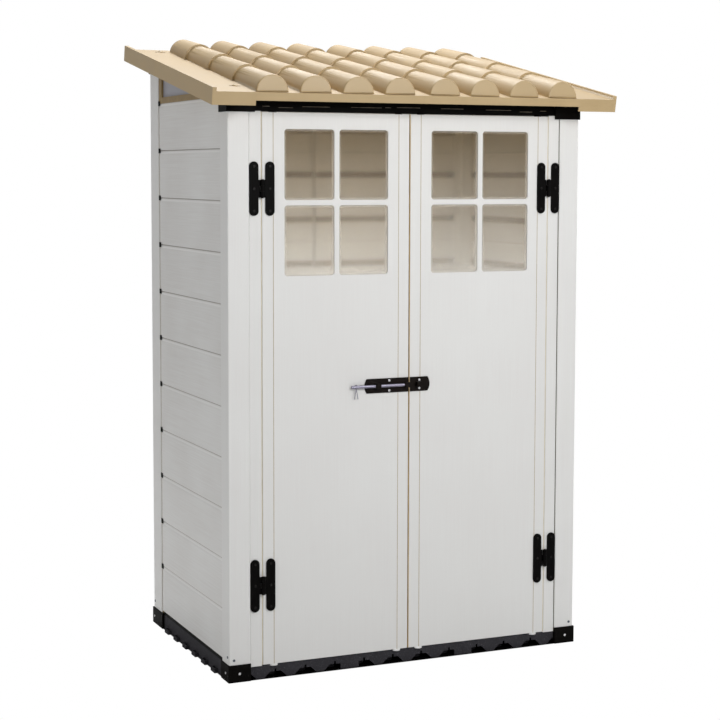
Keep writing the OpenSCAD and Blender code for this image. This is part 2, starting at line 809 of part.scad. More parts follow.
module top_corner_rear() {
    x = left_x - corner_proud;
    y = rear_y + corner_proud;
    top = roof_z(rear_y, deck_top) + 10;
    side_y = rear_y - rear_post_d;
    color("#1c1b19") difference() {
        below_deck() union() {
            box(x, x + top_corner_wall, side_y, y, rear_corner_z, top);
            box(x, left_x + post_w, y - top_corner_wall, y, rear_corner_z, top);
            box(x, left_x + post_w, side_y, y, rear_post_top, top);
            box(left_x + post_wall + 0.4, left_x + post_w - plank_grip - 4,
                side_y + post_wall + 0.4, rear_y - post_wall - 0.4,
                rear_post_top - spigot_h, rear_post_top + eps);
        }
        roof_screw_holes();
    }
}

module top_corner_front_left() { top_corner_front(roof_edge_z - top_corner_left_drop); }
module top_corner_front_right() { flip() top_corner_front(roof_edge_z - top_corner_right_drop); }
module top_corner_rear_left() { top_corner_rear(); }
module top_corner_rear_right() { flip() top_corner_rear(); }

module jamb() {
    color("whitesmoke") difference() {
        tube(jamb_x, jamb_x + jamb_w, door_y, door_y + jamb_t, ledge_h, lintel_z, stile_wall);
        hinge_screw_holes(-1);
    }
}

module jamb_left() { jamb(); }
module jamb_right() { flip() jamb(); }

// Soft strips on the jambs' edges, in the gap at the hinge side of each door
module jamb_seals() {
    color("#a08a60")
        for (s = [0, 1])
            mirror([s, 0, 0])
                box(jamb_x + jamb_w, jamb_x + jamb_w + door_gap - run_gap,
                    door_y + 1.5, door_y + 12, door_z0, door_z1);
}

module front_lintel() {
    x = left_x + post_w;
    y1 = door_y + jamb_t + 3;
    color("#1c1b19") difference() {
        below_deck()
            box(x + fit_gap, -x - fit_gap, lintel_y, y1, lintel_z, roof_z(front_y + post_w, deck_top));
        lintel_slots(x);
        roof_screw_holes();
    }
}

// A row of shallow slots along the lintel's face
module lintel_slots(x) {
    n = floor((-2 * x - lintel_slot_l) / lintel_slot_pitch);
    for (i = [0 : n])
        translate([(i - n / 2) * lintel_slot_pitch, 0, 0])
            box(-lintel_slot_l / 2, lintel_slot_l / 2, lintel_y - 1, lintel_y + 2,
                lintel_z + 16, lintel_z + 20);
}

module rear_top_rail() {
    x = left_x + post_w;
    color("#a08a60") difference() {
        below_deck()
            box(x + fit_gap, -x - fit_gap, rear_wall_y - plank_t, rear_wall_y, rear_rail_z,
                roof_z(rear_y, deck_top));
        roof_screw_holes();
    }
}

// Carries the joint between the two halves of the roof
module roof_joint_beam() {
    y0 = door_y + jamb_t + 3;
    y1 = rear_wall_y - plank_t;
    color("whitesmoke") intersection() {
        on_slope() translate([-beam_w / 2, 0, deck_under - beam_h]) cube([beam_w, roof_l, beam_h]);
        box(-beam_w / 2 - 1, beam_w / 2 + 1, y0 + fit_gap, y1 - fit_gap, lintel_z, roof_z(rear_y, deck_top));
    }
}

// Gables

gable_y0 = front_y + post_w + fit_gap;
gable_y1 = plank_rear_y;
gable_in0 = gable_y0 + gable_stile_w;
gable_in1 = gable_y1 - gable_stile_w;

module gable_hole(gap) {
    z0 = wall_top_z + gable_rail_h + gap;
    polygon([
        [gable_in0 + gap, z0], [gable_in1 - gap, z0],
        [gable_in1 - gap, roof_z(gable_in1 - gap, deck_under) - gable_top_h - gap],
        [gable_in0 + gap, roof_z(gable_in0 + gap, deck_under) - gable_top_h - gap]
    ]);
}

module gable_frame() {
    translate([wall_x, 0, 0]) rotate([90, 0, 90]) linear_extrude(plank_t) difference() {
        polygon([
            [gable_y0, wall_top_z], [gable_y1, wall_top_z],
            [gable_y1, roof_z(gable_y1, deck_under) - fit_gap],
            [gable_y0, roof_z(gable_y0, deck_under) - fit_gap]
        ]);
        gable_hole(0);
    }
}

module gable_frames() {
    color("#a08a60")
        for (s = [0, 1])
            mirror([s, 0, 0]) gable_frame();
}

module gable_panels() {
    color("lightsteelblue")
        for (s = [0, 1])
            mirror([s, 0, 0])
                translate([wall_x + 7, 0, 0]) rotate([90, 0, 90]) linear_extrude(gable_panel_t)
                    gable_hole(fit_gap);
}

// Roof

// One half-round tile, wider at its lower end
module roof_tile(y0, y1) {
    translate([0, y0, 0]) rotate([-90, 0, 0]) cylinder(r1 = tile_low_r, r2 = tile_high_r, h = y1 - y0);
}

// Seen from the side, the space that the tile columns fill between their leaning ends
module column_space() {
    lean = 2 * tile_low_r * tan(end_lean);
    end = roof_l - course_end;
    rotate([90, 0, 90]) translate([0, 0, -roof_w / 2]) linear_extrude(roof_w / 2)
        polygon([
            [course_start, deck_top - 1], [course_start + lean, deck_top + 2 * tile_low_r],
            [end - lean, deck_top + 2 * tile_low_r], [end, deck_top - 1]
        ]);
}

module tile_column() {
    for (i = [0 : courses - 1])
        roof_tile(i == 0 ? course_start - 1 : i * course_l,
            i == courses - 1 ? roof_l - course_end + 1 : (i + 1) * course_l);
}

module column_hollow() {
    inset = tile_low_r * tan(end_lean) + column_end_t;
    y0 = course_start + inset;
    y1 = roof_l - course_end - inset;
    translate([0, y0, 0]) rotate([-90, 0, 0]) cylinder(r = tile_high_r - deck_t, h = y1 - y0);
}

function column_x(i) = -first_column - i * column_pitch;

module roof_slot(x, l) {
    for (y = roof_screw_ys)
        translate([x - l / 2, slope_at(y) - roof_slot_w / 2, 0]) cube([l, roof_slot_w, fascia_h]);
}

module roof_panel() {
    hw = roof_w / 2;
    gap = fit_gap / 2;
    color("#a58d63") on_slope() difference() {
        union() {
            translate([-hw, 0, deck_under]) cube([hw - gap, roof_l, deck_t]);
            translate([-hw, 0, 0]) cube([fascia_t, roof_l, fascia_h]);
            translate([-hw, 0, 0]) cube([corner_l, deck_t, deck_top]);
            translate([-hw, 0, deck_top - front_edge_h]) cube([hw - gap, deck_t, front_edge_h]);
            translate([-hw, roof_l - deck_t, 0]) cube([hw - gap, deck_t, deck_top]);
            intersection() {
                for (i = [0 : columns - 1])
                    translate([column_x(i), 0, deck_top]) tile_column();
                column_space();
            }
        }
        for (i = [0 : columns - 1])
            translate([column_x(i), 0, deck_top]) column_hollow();
        roof_slot(-roof_screw_x, roof_slot_l);
        roof_slot(-centre_screw_x, centre_slot_l);
    }
}

module roof_panel_left() { roof_panel(); }
module roof_panel_right() { flip() roof_panel(); }

module roof_screws() {
    color("silver")
        for (s = [-1, 1], x = [roof_screw_x, centre_screw_x], y = roof_screw_ys)
            on_slope() translate([s * x, slope_at(y), 0]) {
                translate([0, 0, deck_top]) cylinder(r = roof_screw_cap_r, h = 2);
                translate([0, 0, deck_top + 2 - eps]) cylinder(r1 = roof_screw_cap_r - 1, r2 = 4, h = 3);
                translate([0, 0, deck_under - roof_screw_l + 2])
                    cylinder(r = roof_screw_r, h = roof_screw_l + deck_t - 2 + eps);
            }
}

module frame_screws() {
    color("silver")
        for (s = [0, 1])
            mirror([s, 0, 0]) {
                corner_screws_front();
                corner_screws_rear();
            }
}

module corner_screws_front() {
    screw_back(left_x + 32, front_y - corner_proud, corner_screw_z);
    screw_back(left_x + 15, front_y, post_screw_z);
    screw_right(left_x - corner_proud, front_y + 23, corner_screw_z);
    screw_right(left_x, front_y + 15, post_screw_z + 8);
}

module corner_screws_rear() {
    mirror([0, 1, 0]) {
        screw_back(left_x + 32, -rear_y - corner_proud, corner_screw_z);
        screw_back(left_x + 15, -rear_y, post_screw_z);
    }
    screw_right(left_x - corner_proud, rear_y - 23, corner_screw_z);
    screw_right(left_x, rear_y - 15, post_screw_z + 8);
}

// Hinges. side is -1 for the leaf on the jamb and 1 for the leaf on the door

module hinge_screw_positions(side) {
    for (z = hinge_zs, k = [-1, 0, 1])
        translate([axis_x + side * hinge_reach, 0, z + k * hinge_screw_dz]) children();
}

module hinge_screw_holes(side) {
    hinge_screw_positions(side)
        rod_back(0, door_y - hinge_t - 1, 0, screw_r + screw_gap, screw_l + 3);
}

module hinge_screws(side) {
    hinge_screw_positions(side) screw_back(0, door_y - hinge_t, 0);
}

// One upright bar with round ends and its part of the middle web
module hinge_bar(side) {
    x = axis_x + side * hinge_reach;
    r = hinge_bar_w / 2;
    y = door_y - hinge_t;
    for (k = [-1, 1])
        rod_back(x, y, k * (hinge_h / 2 - r), r, hinge_t);
    box(x - r, x + r, y, door_y, -hinge_h / 2 + r, hinge_h / 2 - r);
}

// The door's leaf has the middle third of the knuckle and the jamb's leaf the other two
module hinge_leaf(side) {
    x = axis_x + side * hinge_reach;
    y = door_y - hinge_t;
    third = knuckle_third;
    half = hinge_web_h / 2;
    parts = side > 0 ? [[-third / 2, third / 2]] : [[-half, -third / 2], [third / 2, half]];
    inner = axis_x + side * (knuckle_r + run_gap);
    difference() {
        union() {
            hinge_bar(side);
            box(min(x, inner), max(x, inner), y, door_y, -hinge_web_h / 2, hinge_web_h / 2);
            for (p = parts) {
                z0 = p[0] + (p[0] > -half ? fit_gap / 2 : 0);
                z1 = p[1] - (p[1] < half ? fit_gap / 2 : 0);
                translate([axis_x, axis_y, z0]) cylinder(r = knuckle_r, h = z1 - z0);
                box(min(x, axis_x), max(x, axis_x), y, axis_y + knuckle_r - 1, z0, z1);
            }
        }
        translate([axis_x, axis_y, -hinge_h]) cylinder(r = hinge_pin_r + pin_gap, h = 2 * hinge_h);
    }
}

module hinge_leaves(side) {
    color("#141310") difference() {
        for (z = hinge_zs)
            translate([0, 0, z]) hinge_leaf(side);
        hinge_screw_holes(side);
    }
}

module jamb_hinge_leaves() {
    hinge_leaves(-1);
    flip() hinge_leaves(-1);
}

module jamb_hinge_screws() {
    color("#2a2a28") {
        hinge_screws(-1);
        flip() hinge_screws(-1);
    }
}

module hinge_pins() {
    color("#3a3a38")
        for (s = [-1, 1], z = hinge_zs)
            translate([s * axis_x, axis_y, z - hinge_web_h / 2 - 2]) {
                cylinder(r = hinge_pin_r, h = hinge_web_h + 4);
                cylinder(r = hinge_pin_r + 1.5, h = 2 - fit_gap);
                translate([0, 0, hinge_web_h + 2 + fit_gap]) cylinder(r = hinge_pin_r + 1.5, h = 2 - fit_gap);
            }
}

// Doors

module pane_positions() {
    for (i = [-1, 1], k = [-1, 1])
        translate([
            panel_mid + i * (pane_w + bar_w) / 2, 0,
            field_z0 + field_h / 2 + k * (pane_h + bar_w) / 2
        ]) rotate([90, 0, 0]) children();
}

module door_panel() {
    y1 = door_y + sheet_t;
    y2 = door_y + door_t - 4;
    y3 = y1 + rib_d;
    w = panel_x1 - panel_x0;
    field_x = panel_mid - field_w / 2;
    out = pane_lap + 1;
    rib_n = floor((field_z0 - door_z0) / rib_pitch);
    color("whitesmoke") difference() {
        union() {
            box(panel_x0, panel_x1, door_y, y1, door_z0, door_z1);
            difference() {
                box(panel_x0, panel_x1, y1 - eps, y2, door_z0, door_z1);
                box(panel_x0 + rib_t, panel_x1 - rib_t, y1 - 1, y2 + 1, door_z0 + rib_t, door_z1 - rib_t);
            }
            box(panel_mid - rib_t / 2, panel_mid + rib_t / 2, y1 - eps, y3,
                door_z0 + rib_t / 2, field_z0 - out);
            for (i = [1 : rib_n])
                box(panel_x0 + rib_t / 2, panel_x1 - rib_t / 2, y1 - eps, y3,
                    door_z0 + i * rib_pitch, door_z0 + i * rib_pitch + rib_t);
            difference() {
                box(field_x - out - surround_t, field_x + field_w + out + surround_t, y1 - eps, y3,
                    field_z0 - out - surround_t, pane_top + out + surround_t);
                box(field_x - out, field_x + field_w + out, y1 - 1, y3 + 1, field_z0 - out, pane_top + out);
            }
            box(panel_mid - rib_t / 2, panel_mid + rib_t / 2, y1 - eps, y3 - 6,
                field_z0 - out - 1, pane_top + out + 1);
            box(field_x - out - 1, field_x + field_w + out + 1, y1 - eps, y3 - 6,
                field_z0 + field_h / 2 - rib_t / 2, field_z0 + field_h / 2 + rib_t / 2);
        }
        pane_positions()
            translate([0, 0, -y1 - 1]) linear_extrude(sheet_t + 2) rounded_rect(pane_w, pane_h, pane_r);
    }
}

module door_panes() {
    lap = pane_lap - fit_gap;
    color([0.8, 0.77, 0.7, 0.6])
        pane_positions()
            translate([-pane_w / 2 - lap, -pane_h / 2 - lap, -door_y - sheet_t - fit_gap - pane_t])
                cube([pane_w + 2 * lap, pane_h + 2 * lap, pane_t]);
}

module hinge_stile() {
    color("whitesmoke") difference() {
        tube(door_x0, door_x0 + stile_w, door_y, door_y + door_t, door_z0, door_z1, stile_wall);
        hinge_screw_holes(1);
    }
}

module lock_stile() {
    color("whitesmoke")
        tube(door_x1 - stile_w, door_x1, door_y, door_y + door_t, door_z0, door_z1, stile_wall);
}

// Rounded end caps over the upright joints of a door, below and above it
module door_caps() {
    r = cap_w / 2;
    y1 = floor_y0 - fit_gap;
    color("white")
        for (x = [panel_x0 - fit_gap / 2, panel_x1 + fit_gap / 2], z = [door_z0 - cap_h, door_z1])
            intersection() {
                translate([x, door_y + r - 5, z]) cylinder(r = r, h = cap_h);
                box(x - r, x + r, door_y - r, y1, z, z + cap_h);
            }
}

module left_door_panel() {
    difference() {
        door_panel();
        latch_screw_holes();
    }
}
module left_door_hinge_stile() { hinge_stile(); }
module left_door_lock_stile() { lock_stile(); }
module left_door_panes() { door_panes(); }
module left_door_caps() { door_caps(); }
module left_door_hinge_leaves() { hinge_leaves(1); }

module right_door_panel() { flip() door_panel(); }
module right_door_hinge_stile() { flip() hinge_stile(); }
module right_door_lock_stile() {
    difference() {
        flip() lock_stile();
        keeper_screw_holes();
    }
}
module right_door_panes() { flip() door_panes(); }
module right_door_caps() { flip() door_caps(); }
module right_door_hinge_leaves() { flip() hinge_leaves(1); }

// Fills most of the gap between the doors, on the right door's edge
module meeting_strip() {
    t = meeting_gap / 2;
    color("#a08a60") box(meeting_gap / 2 - t, meeting_gap / 2, door_y + 1, door_y + 24, door_z0, door_z1);
}

// Latch

module latch_screw_positions() {
    for (k = [-1, 1])
        translate([latch_screw_x, 0, latch_z + k * latch_screw_dz]) children();
}

module keeper_screw_positions() {
    for (k = [-1, 1])
        translate([keeper_bridge_x + bridge_w * 0.7, 0, latch_z + k * keeper_screw_dz]) children();
}

module latch_screw_holes() {
    latch_screw_positions() rod_back(0, latch_y - 1, 0, screw_r + screw_gap, screw_l + 3);
}

module keeper_screw_holes() {
    keeper_screw_positions() rod_back(0, latch_y - 1, 0, screw_r + screw_gap, screw_l + 3);
}

// A bridge that the rod slides through
module bridge(x) {
    out = tunnel_half + bridge_t;
    difference() {
        box(x, x + bridge_w, rod_y - out, latch_y + eps, latch_z - out, latch_z + out);
        box(x - 1, x + bridge_w + 1, rod_y - tunnel_half, latch_y,
            latch_z - tunnel_half, latch_z + tunnel_half);
    }
}

module latch_plate() {
    color("#141310") difference() {
        union() {
            intersection() {
                box(latch_x0, door_x1, latch_y, door_y, latch_z - latch_h / 2, latch_z + latch_h / 2);
                rod_back(latch_x0 + plate_arc_r, latch_y - 1, latch_z, plate_arc_r, latch_t + 2);
            }
            box(latch_x0 + 12, door_x1 - fit_gap, latch_y, door_y,
                latch_z - latch_h / 2, latch_z + latch_h / 2);
            for (x = bridge_xs) bridge(x);
        }
        latch_screw_holes();
    }
}

module keeper_plate() {
    x1 = keeper_x0 + keeper_l;
    color("#141310") difference() {
        union() {
            intersection() {
                box(keeper_x0, x1, latch_y, door_y, latch_z - latch_h / 2, latch_z + latch_h / 2);
                rod_back(x1 - plate_arc_r, latch_y - 1, latch_z, plate_arc_r, latch_t + 2);
            }
            box(keeper_x0, x1 - 12, latch_y, door_y, latch_z - latch_h / 2, latch_z + latch_h / 2);
            bridge(keeper_bridge_x);
        }
        keeper_screw_holes();
    }
}

module left_door_screws() {
    color("silver") {
        hinge_screws(1);
        latch_screw_positions() screw_back(0, latch_y, 0);
    }
}

module right_door_screws() {
    color("silver") {
        flip() hinge_screws(1);
        keeper_screw_positions() screw_back(0, latch_y, 0);
    }
}

// The rod is drawn back clear of the right door; it slides to the right to lock
module latch_rod() {
    color("silver") difference() {
        union() {
            rod_right(rod_tip_x - rod_l, rod_y, latch_z, rod_r, rod_l - rod_r);
            translate([rod_tip_x - rod_r, rod_y, latch_z]) sphere(r = rod_r);
        }
        translate([pin_x, rod_y, latch_z - 2 * rod_r]) cylinder(r = pin_wire_r + screw_gap, h = 4 * rod_r);
    }
}

module latch_split_pin() {
    color("silver") {
        translate([pin_x, rod_y, latch_z - rod_r - 1]) cylinder(r = pin_wire_r, h = 2 * rod_r + 2);
        translate([pin_x, rod_y, latch_z + rod_r + fit_gap]) cylinder(r = 2 * pin_wire_r + 0.6, h = 2);
        for (s = [-1, 1])
            translate([pin_x, rod_y, latch_z - rod_r - 1]) rotate([0, s * pin_leg_angle, 0])
                translate([0, 0, -pin_leg_l]) cylinder(r = pin_wire_r, h = pin_leg_l);
    }
}

floor_tile_front_left();
floor_tile_front_middle();
floor_tile_front_right();
floor_tile_rear_left();
floor_tile_rear_middle();
floor_tile_rear_right();
bottom_corner_front_left();
bottom_corner_front_right();
bottom_corner_rear_left();
bottom_corner_rear_right();
post_front_left();
post_front_right();
post_rear_left();
post_rear_right();
post_rear_centre();
wall_sills();
left_wall_planks();
right_wall_planks();
rear_left_planks();
rear_right_planks();
wall_end_strips();
plank_joint_clips();
top_corner_front_left();
top_corner_front_right();
top_corner_rear_left();
top_corner_rear_right();
jamb_left();
jamb_right();
jamb_seals();
front_lintel();
rear_top_rail();
roof_joint_beam();
gable_frames();
gable_panels();
roof_panel_left();
roof_panel_right();
roof_screws();
frame_screws();
jamb_hinge_leaves();
jamb_hinge_screws();
hinge_pins();
left_door_panel();
left_door_hinge_stile();
left_door_lock_stile();
left_door_panes();
left_door_caps();
left_door_hinge_leaves();
left_door_screws();
latch_plate();
right_door_panel();
right_door_hinge_stile();
right_door_lock_stile();
right_door_panes();
right_door_caps();
right_door_hinge_leaves();
right_door_screws();
meeting_strip();
keeper_plate();
latch_rod();
latch_split_pin();
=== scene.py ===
import math

import bmesh
import bpy
from mathutils import Matrix, Vector


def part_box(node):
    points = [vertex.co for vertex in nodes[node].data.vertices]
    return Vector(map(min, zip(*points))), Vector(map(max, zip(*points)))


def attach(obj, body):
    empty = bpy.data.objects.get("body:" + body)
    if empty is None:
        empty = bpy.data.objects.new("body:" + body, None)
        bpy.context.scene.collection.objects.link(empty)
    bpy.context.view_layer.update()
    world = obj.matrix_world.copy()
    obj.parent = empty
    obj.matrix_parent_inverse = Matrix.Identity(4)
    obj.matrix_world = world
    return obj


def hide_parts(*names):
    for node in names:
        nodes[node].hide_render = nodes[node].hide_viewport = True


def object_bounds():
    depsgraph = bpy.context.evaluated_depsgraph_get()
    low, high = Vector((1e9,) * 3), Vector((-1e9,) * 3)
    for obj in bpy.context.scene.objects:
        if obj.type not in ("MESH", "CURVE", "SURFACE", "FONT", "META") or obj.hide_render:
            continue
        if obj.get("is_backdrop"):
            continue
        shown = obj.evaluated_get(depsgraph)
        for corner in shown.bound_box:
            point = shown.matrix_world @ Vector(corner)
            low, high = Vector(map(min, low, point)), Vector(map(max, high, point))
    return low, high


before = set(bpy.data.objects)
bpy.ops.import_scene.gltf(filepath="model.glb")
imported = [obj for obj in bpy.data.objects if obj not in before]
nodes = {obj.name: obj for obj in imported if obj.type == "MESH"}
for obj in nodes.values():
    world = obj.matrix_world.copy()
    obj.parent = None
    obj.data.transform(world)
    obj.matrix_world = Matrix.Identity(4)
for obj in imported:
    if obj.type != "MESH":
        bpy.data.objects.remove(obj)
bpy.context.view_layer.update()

# Camera. It stands off the shed's front left corner, a little below the roof's front edge,
# and looks slightly down along a long lens.
EYE = (-2.325, -5.340, 1.575)
TURN = -23.543
TILT = 4.790
ROLL = 0.119
camera_data = bpy.data.cameras.new("camera")
camera_data.sensor_width = 36
camera_data.lens = 86.17
camera_data.shift_y = -0.06
camera_data.clip_end = 200
camera = bpy.data.objects.new("camera", camera_data)
camera.matrix_world = (Matrix.Translation(EYE)
                       @ Matrix.Rotation(math.radians(TURN), 4, "Z")
                       @ Matrix.Rotation(math.radians(90 - TILT), 4, "X")
                       @ Matrix.Rotation(math.radians(ROLL), 4, "Z"))
bpy.context.collection.objects.link(camera)
bpy.context.scene.camera = camera
bpy.context.scene.view_settings.view_transform = "Standard"

# Studio. A white room lights the shed evenly and is darker on its left in reflections. One soft
# box in front lights the doors, one overhead the roof, weak ones the other sides, and a small one
# inside the rear wall, so that the panes aren't dark.
ROOM_LIGHT = 0.34
MIRRORED_LEFT = 0.3
FADE_START = -0.9
FADE_END = 0.2


def linear(code):
    """Turns an sRGB hex colour into linear values."""
    parts = [int(code[i:i + 2], 16) / 255 for i in (1, 3, 5)]
    return [c / 12.92 if c <= 0.04045 else ((c + 0.055) / 1.055) ** 2.4 for c in parts] + [1.0]


def add(tree, kind, inputs=None, **settings):
    """Adds a node. An input is a value, a socket, or a node whose first output is linked."""
    made = tree.nodes.new(kind)
    for name, value in settings.items():
        setattr(made, name, value)
    for name, value in (inputs or {}).items():
        if isinstance(value, bpy.types.Node):
            value = value.outputs[0]
        if isinstance(value, bpy.types.NodeSocket):
            tree.links.new(value, made.inputs[name])
        else:
            made.inputs[name].default_value = value
    return made


def seen_directly(tree):
    """1 for rays that come from the camera or through a pane, else 0."""
    rays = add(tree, "ShaderNodeLightPath")
    return add(tree, "ShaderNodeMath",
               {0: rays.outputs["Is Camera Ray"], 1: rays.outputs["Is Transmission Ray"]},
               operation="MAXIMUM")


room = bpy.data.worlds.new("white_room")
room.use_nodes = True
bpy.context.scene.world = room
tree = room.node_tree
tree.nodes.clear()
way = add(tree, "ShaderNodeTexCoord")
parts = add(tree, "ShaderNodeSeparateXYZ", {0: way.outputs["Generated"]})
mirrored = add(tree, "ShaderNodeMapRange",
               {"Value": parts.outputs["X"], "From Min": FADE_START, "From Max": FADE_END,
                "To Min": MIRRORED_LEFT, "To Max": 1.0})
rays = add(tree, "ShaderNodeLightPath")
strength = add(tree, "ShaderNodeMapRange",
               {"Value": rays.outputs["Is Glossy Ray"], "To Min": ROOM_LIGHT, "To Max": mirrored})
strength = add(tree, "ShaderNodeMath", {0: strength, 1: seen_directly(tree)},
               operation="MAXIMUM")
glow = add(tree, "ShaderNodeBackground", {"Color": (1, 1, 1, 1), "Strength": strength})
add(tree, "ShaderNodeOutputWorld", {"Surface": glow})


def soft_box(name, place, target, size, power):
    """Hangs a square area lamp that faces the target and doesn't show in the picture."""
    data = bpy.data.lights.new(name, "AREA")
    data.shape = "SQUARE"
    data.size = size
    data.energy = power
    lamp = bpy.data.objects.new(name, data)
    lamp.location = place
    lamp.rotation_euler = (Vector(target) - Vector(place)).to_track_quat("-Z", "Y").to_euler()
    lamp.visible_camera = False
    bpy.context.collection.objects.link(lamp)


soft_box("front_box", place=(0.5, -3.2, 2.5), target=(0.1, -0.4, 1.5), size=1.2, power=52)
soft_box("overhead_box", place=(0.3, 1.1, 4.6), target=(0, 0, 1.9), size=1.8, power=105)
soft_box("rear_right_box", place=(3.2, 2.6, 1.6), target=(0, 0, 1.0), size=2.0, power=48)
soft_box("left_fill_box", place=(-4.5, -0.5, 0.8), target=(-0.6, 0, 0.8), size=2.0, power=22)
soft_box("inside_box", place=(0, -0.24, 1.05), target=(0, 0.39, 1.25), size=0.55, power=2.4)

# Floor. A smooth sweep painted matt white, which looks plain white and keeps the shed's soft
# shadow. Under the shed its colour is nearly black: painted shade for the dark that the skirt keeps
# there.
FLOOR_WHITE = "#ececec"
FLOOR_PAINTED_SHADE = "#0b0a09"
FLOOR_RADIUS = 30
PAINTED_SHADE_HALF = (0.608, 0.398, 0.0)
PAINTED_SHADE_RAMP = 0.003


def bare_material(name):
    """A new material with an empty node tree. Returns it, its tree and its object coordinates."""
    made = bpy.data.materials.new(name)
    made.use_nodes = True
    made.node_tree.nodes.clear()
    place = add(made.node_tree, "ShaderNodeTexCoord")
    return made, made.node_tree, place.outputs["Object"]


painted, tree, place = bare_material("matt_white_painted_floor")
beyond = add(tree, "ShaderNodeVectorMath", {0: place}, operation="ABSOLUTE")
beyond = add(tree, "ShaderNodeVectorMath", {0: beyond, 1: PAINTED_SHADE_HALF}, operation="SUBTRACT")
beyond = add(tree, "ShaderNodeVectorMath", {0: beyond, 1: (0.0, 0.0, 0.0)}, operation="MAXIMUM")
distance = add(tree, "ShaderNodeVectorMath", {0: beyond}, operation="LENGTH")
# Clear is 0 under the shed, where the floor's colour is painted shade, and 1 beyond it.
clear = add(tree, "ShaderNodeMapRange",
            {"Value": distance.outputs["Value"], "From Min": 0.0, "From Max": PAINTED_SHADE_RAMP})
tone = add(tree, "ShaderNodeMix", {0: clear, 6: linear(FLOOR_PAINTED_SHADE), 7: linear(FLOOR_WHITE)},
           data_type="RGBA")
matt = add(tree, "ShaderNodeBsdfDiffuse", {"Color": tone.outputs[2]})
glow = add(tree, "ShaderNodeEmission", {"Color": (1, 1, 1, 1), "Strength": 1.0})
shown = add(tree, "ShaderNodeMath", {0: seen_directly(tree), 1: clear}, operation="MULTIPLY")
blend = add(tree, "ShaderNodeMixShader", {0: shown, 1: matt, 2: glow})
add(tree, "ShaderNodeOutputMaterial", {"Surface": blend})
sweep = bmesh.new()
bmesh.ops.create_circle(sweep, cap_ends=True, segments=96, radius=FLOOR_RADIUS)
floor_mesh = bpy.data.meshes.new("studio_floor")
sweep.to_mesh(floor_mesh)
sweep.free()
floor_mesh.materials.append(painted)
floor = bpy.data.objects.new("studio_floor", floor_mesh)
bpy.context.collection.objects.link(floor)
floor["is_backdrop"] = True

# Corner posts. Hollow uprights of off-white moulded resin with rounded edges, which stand in the
# corner joints. Wood grain pressed by the mould gives their faces fine upright streaks and a
# slightly uneven satin gloss.
RESIN_WHITE = "#e6e6e4"
RESIN_SHADE = "#e3e2e0"
RESIN_IOR = 1.49
# The painted shadow line along each plank joint and the painted highlight on the bevel under it.
PAINTED_JOINT_SHADOW = "#94887f"
PAINTED_BEVEL_HIGHLIGHT = "#efeeec"
JOINT_SHADOW_WIDTH = 0.0015
BEVEL_HIGHLIGHT_WIDTH = 0.0030
BEVEL_HIGHLIGHT_BELOW = 0.0075
PAINTED_LINE_STRENGTH = 0.85
GRIT_SHARE = 0.12
POST_ROUND = 0.004
HARD_TURN = 40
SAME_PLACE = 1e-5
ALONG_X, ALONG_Y, ALONG_Z = 0, 1, 2
# Sizes of the patterns in mm. The real grain and grit are finer and are drawn coarser to show.
GRAIN_WIDTH = 4.5
GRAIN_LENGTH = 260
CLOUD_SIZE = 312.5
SKIN_GRIT = 1.111


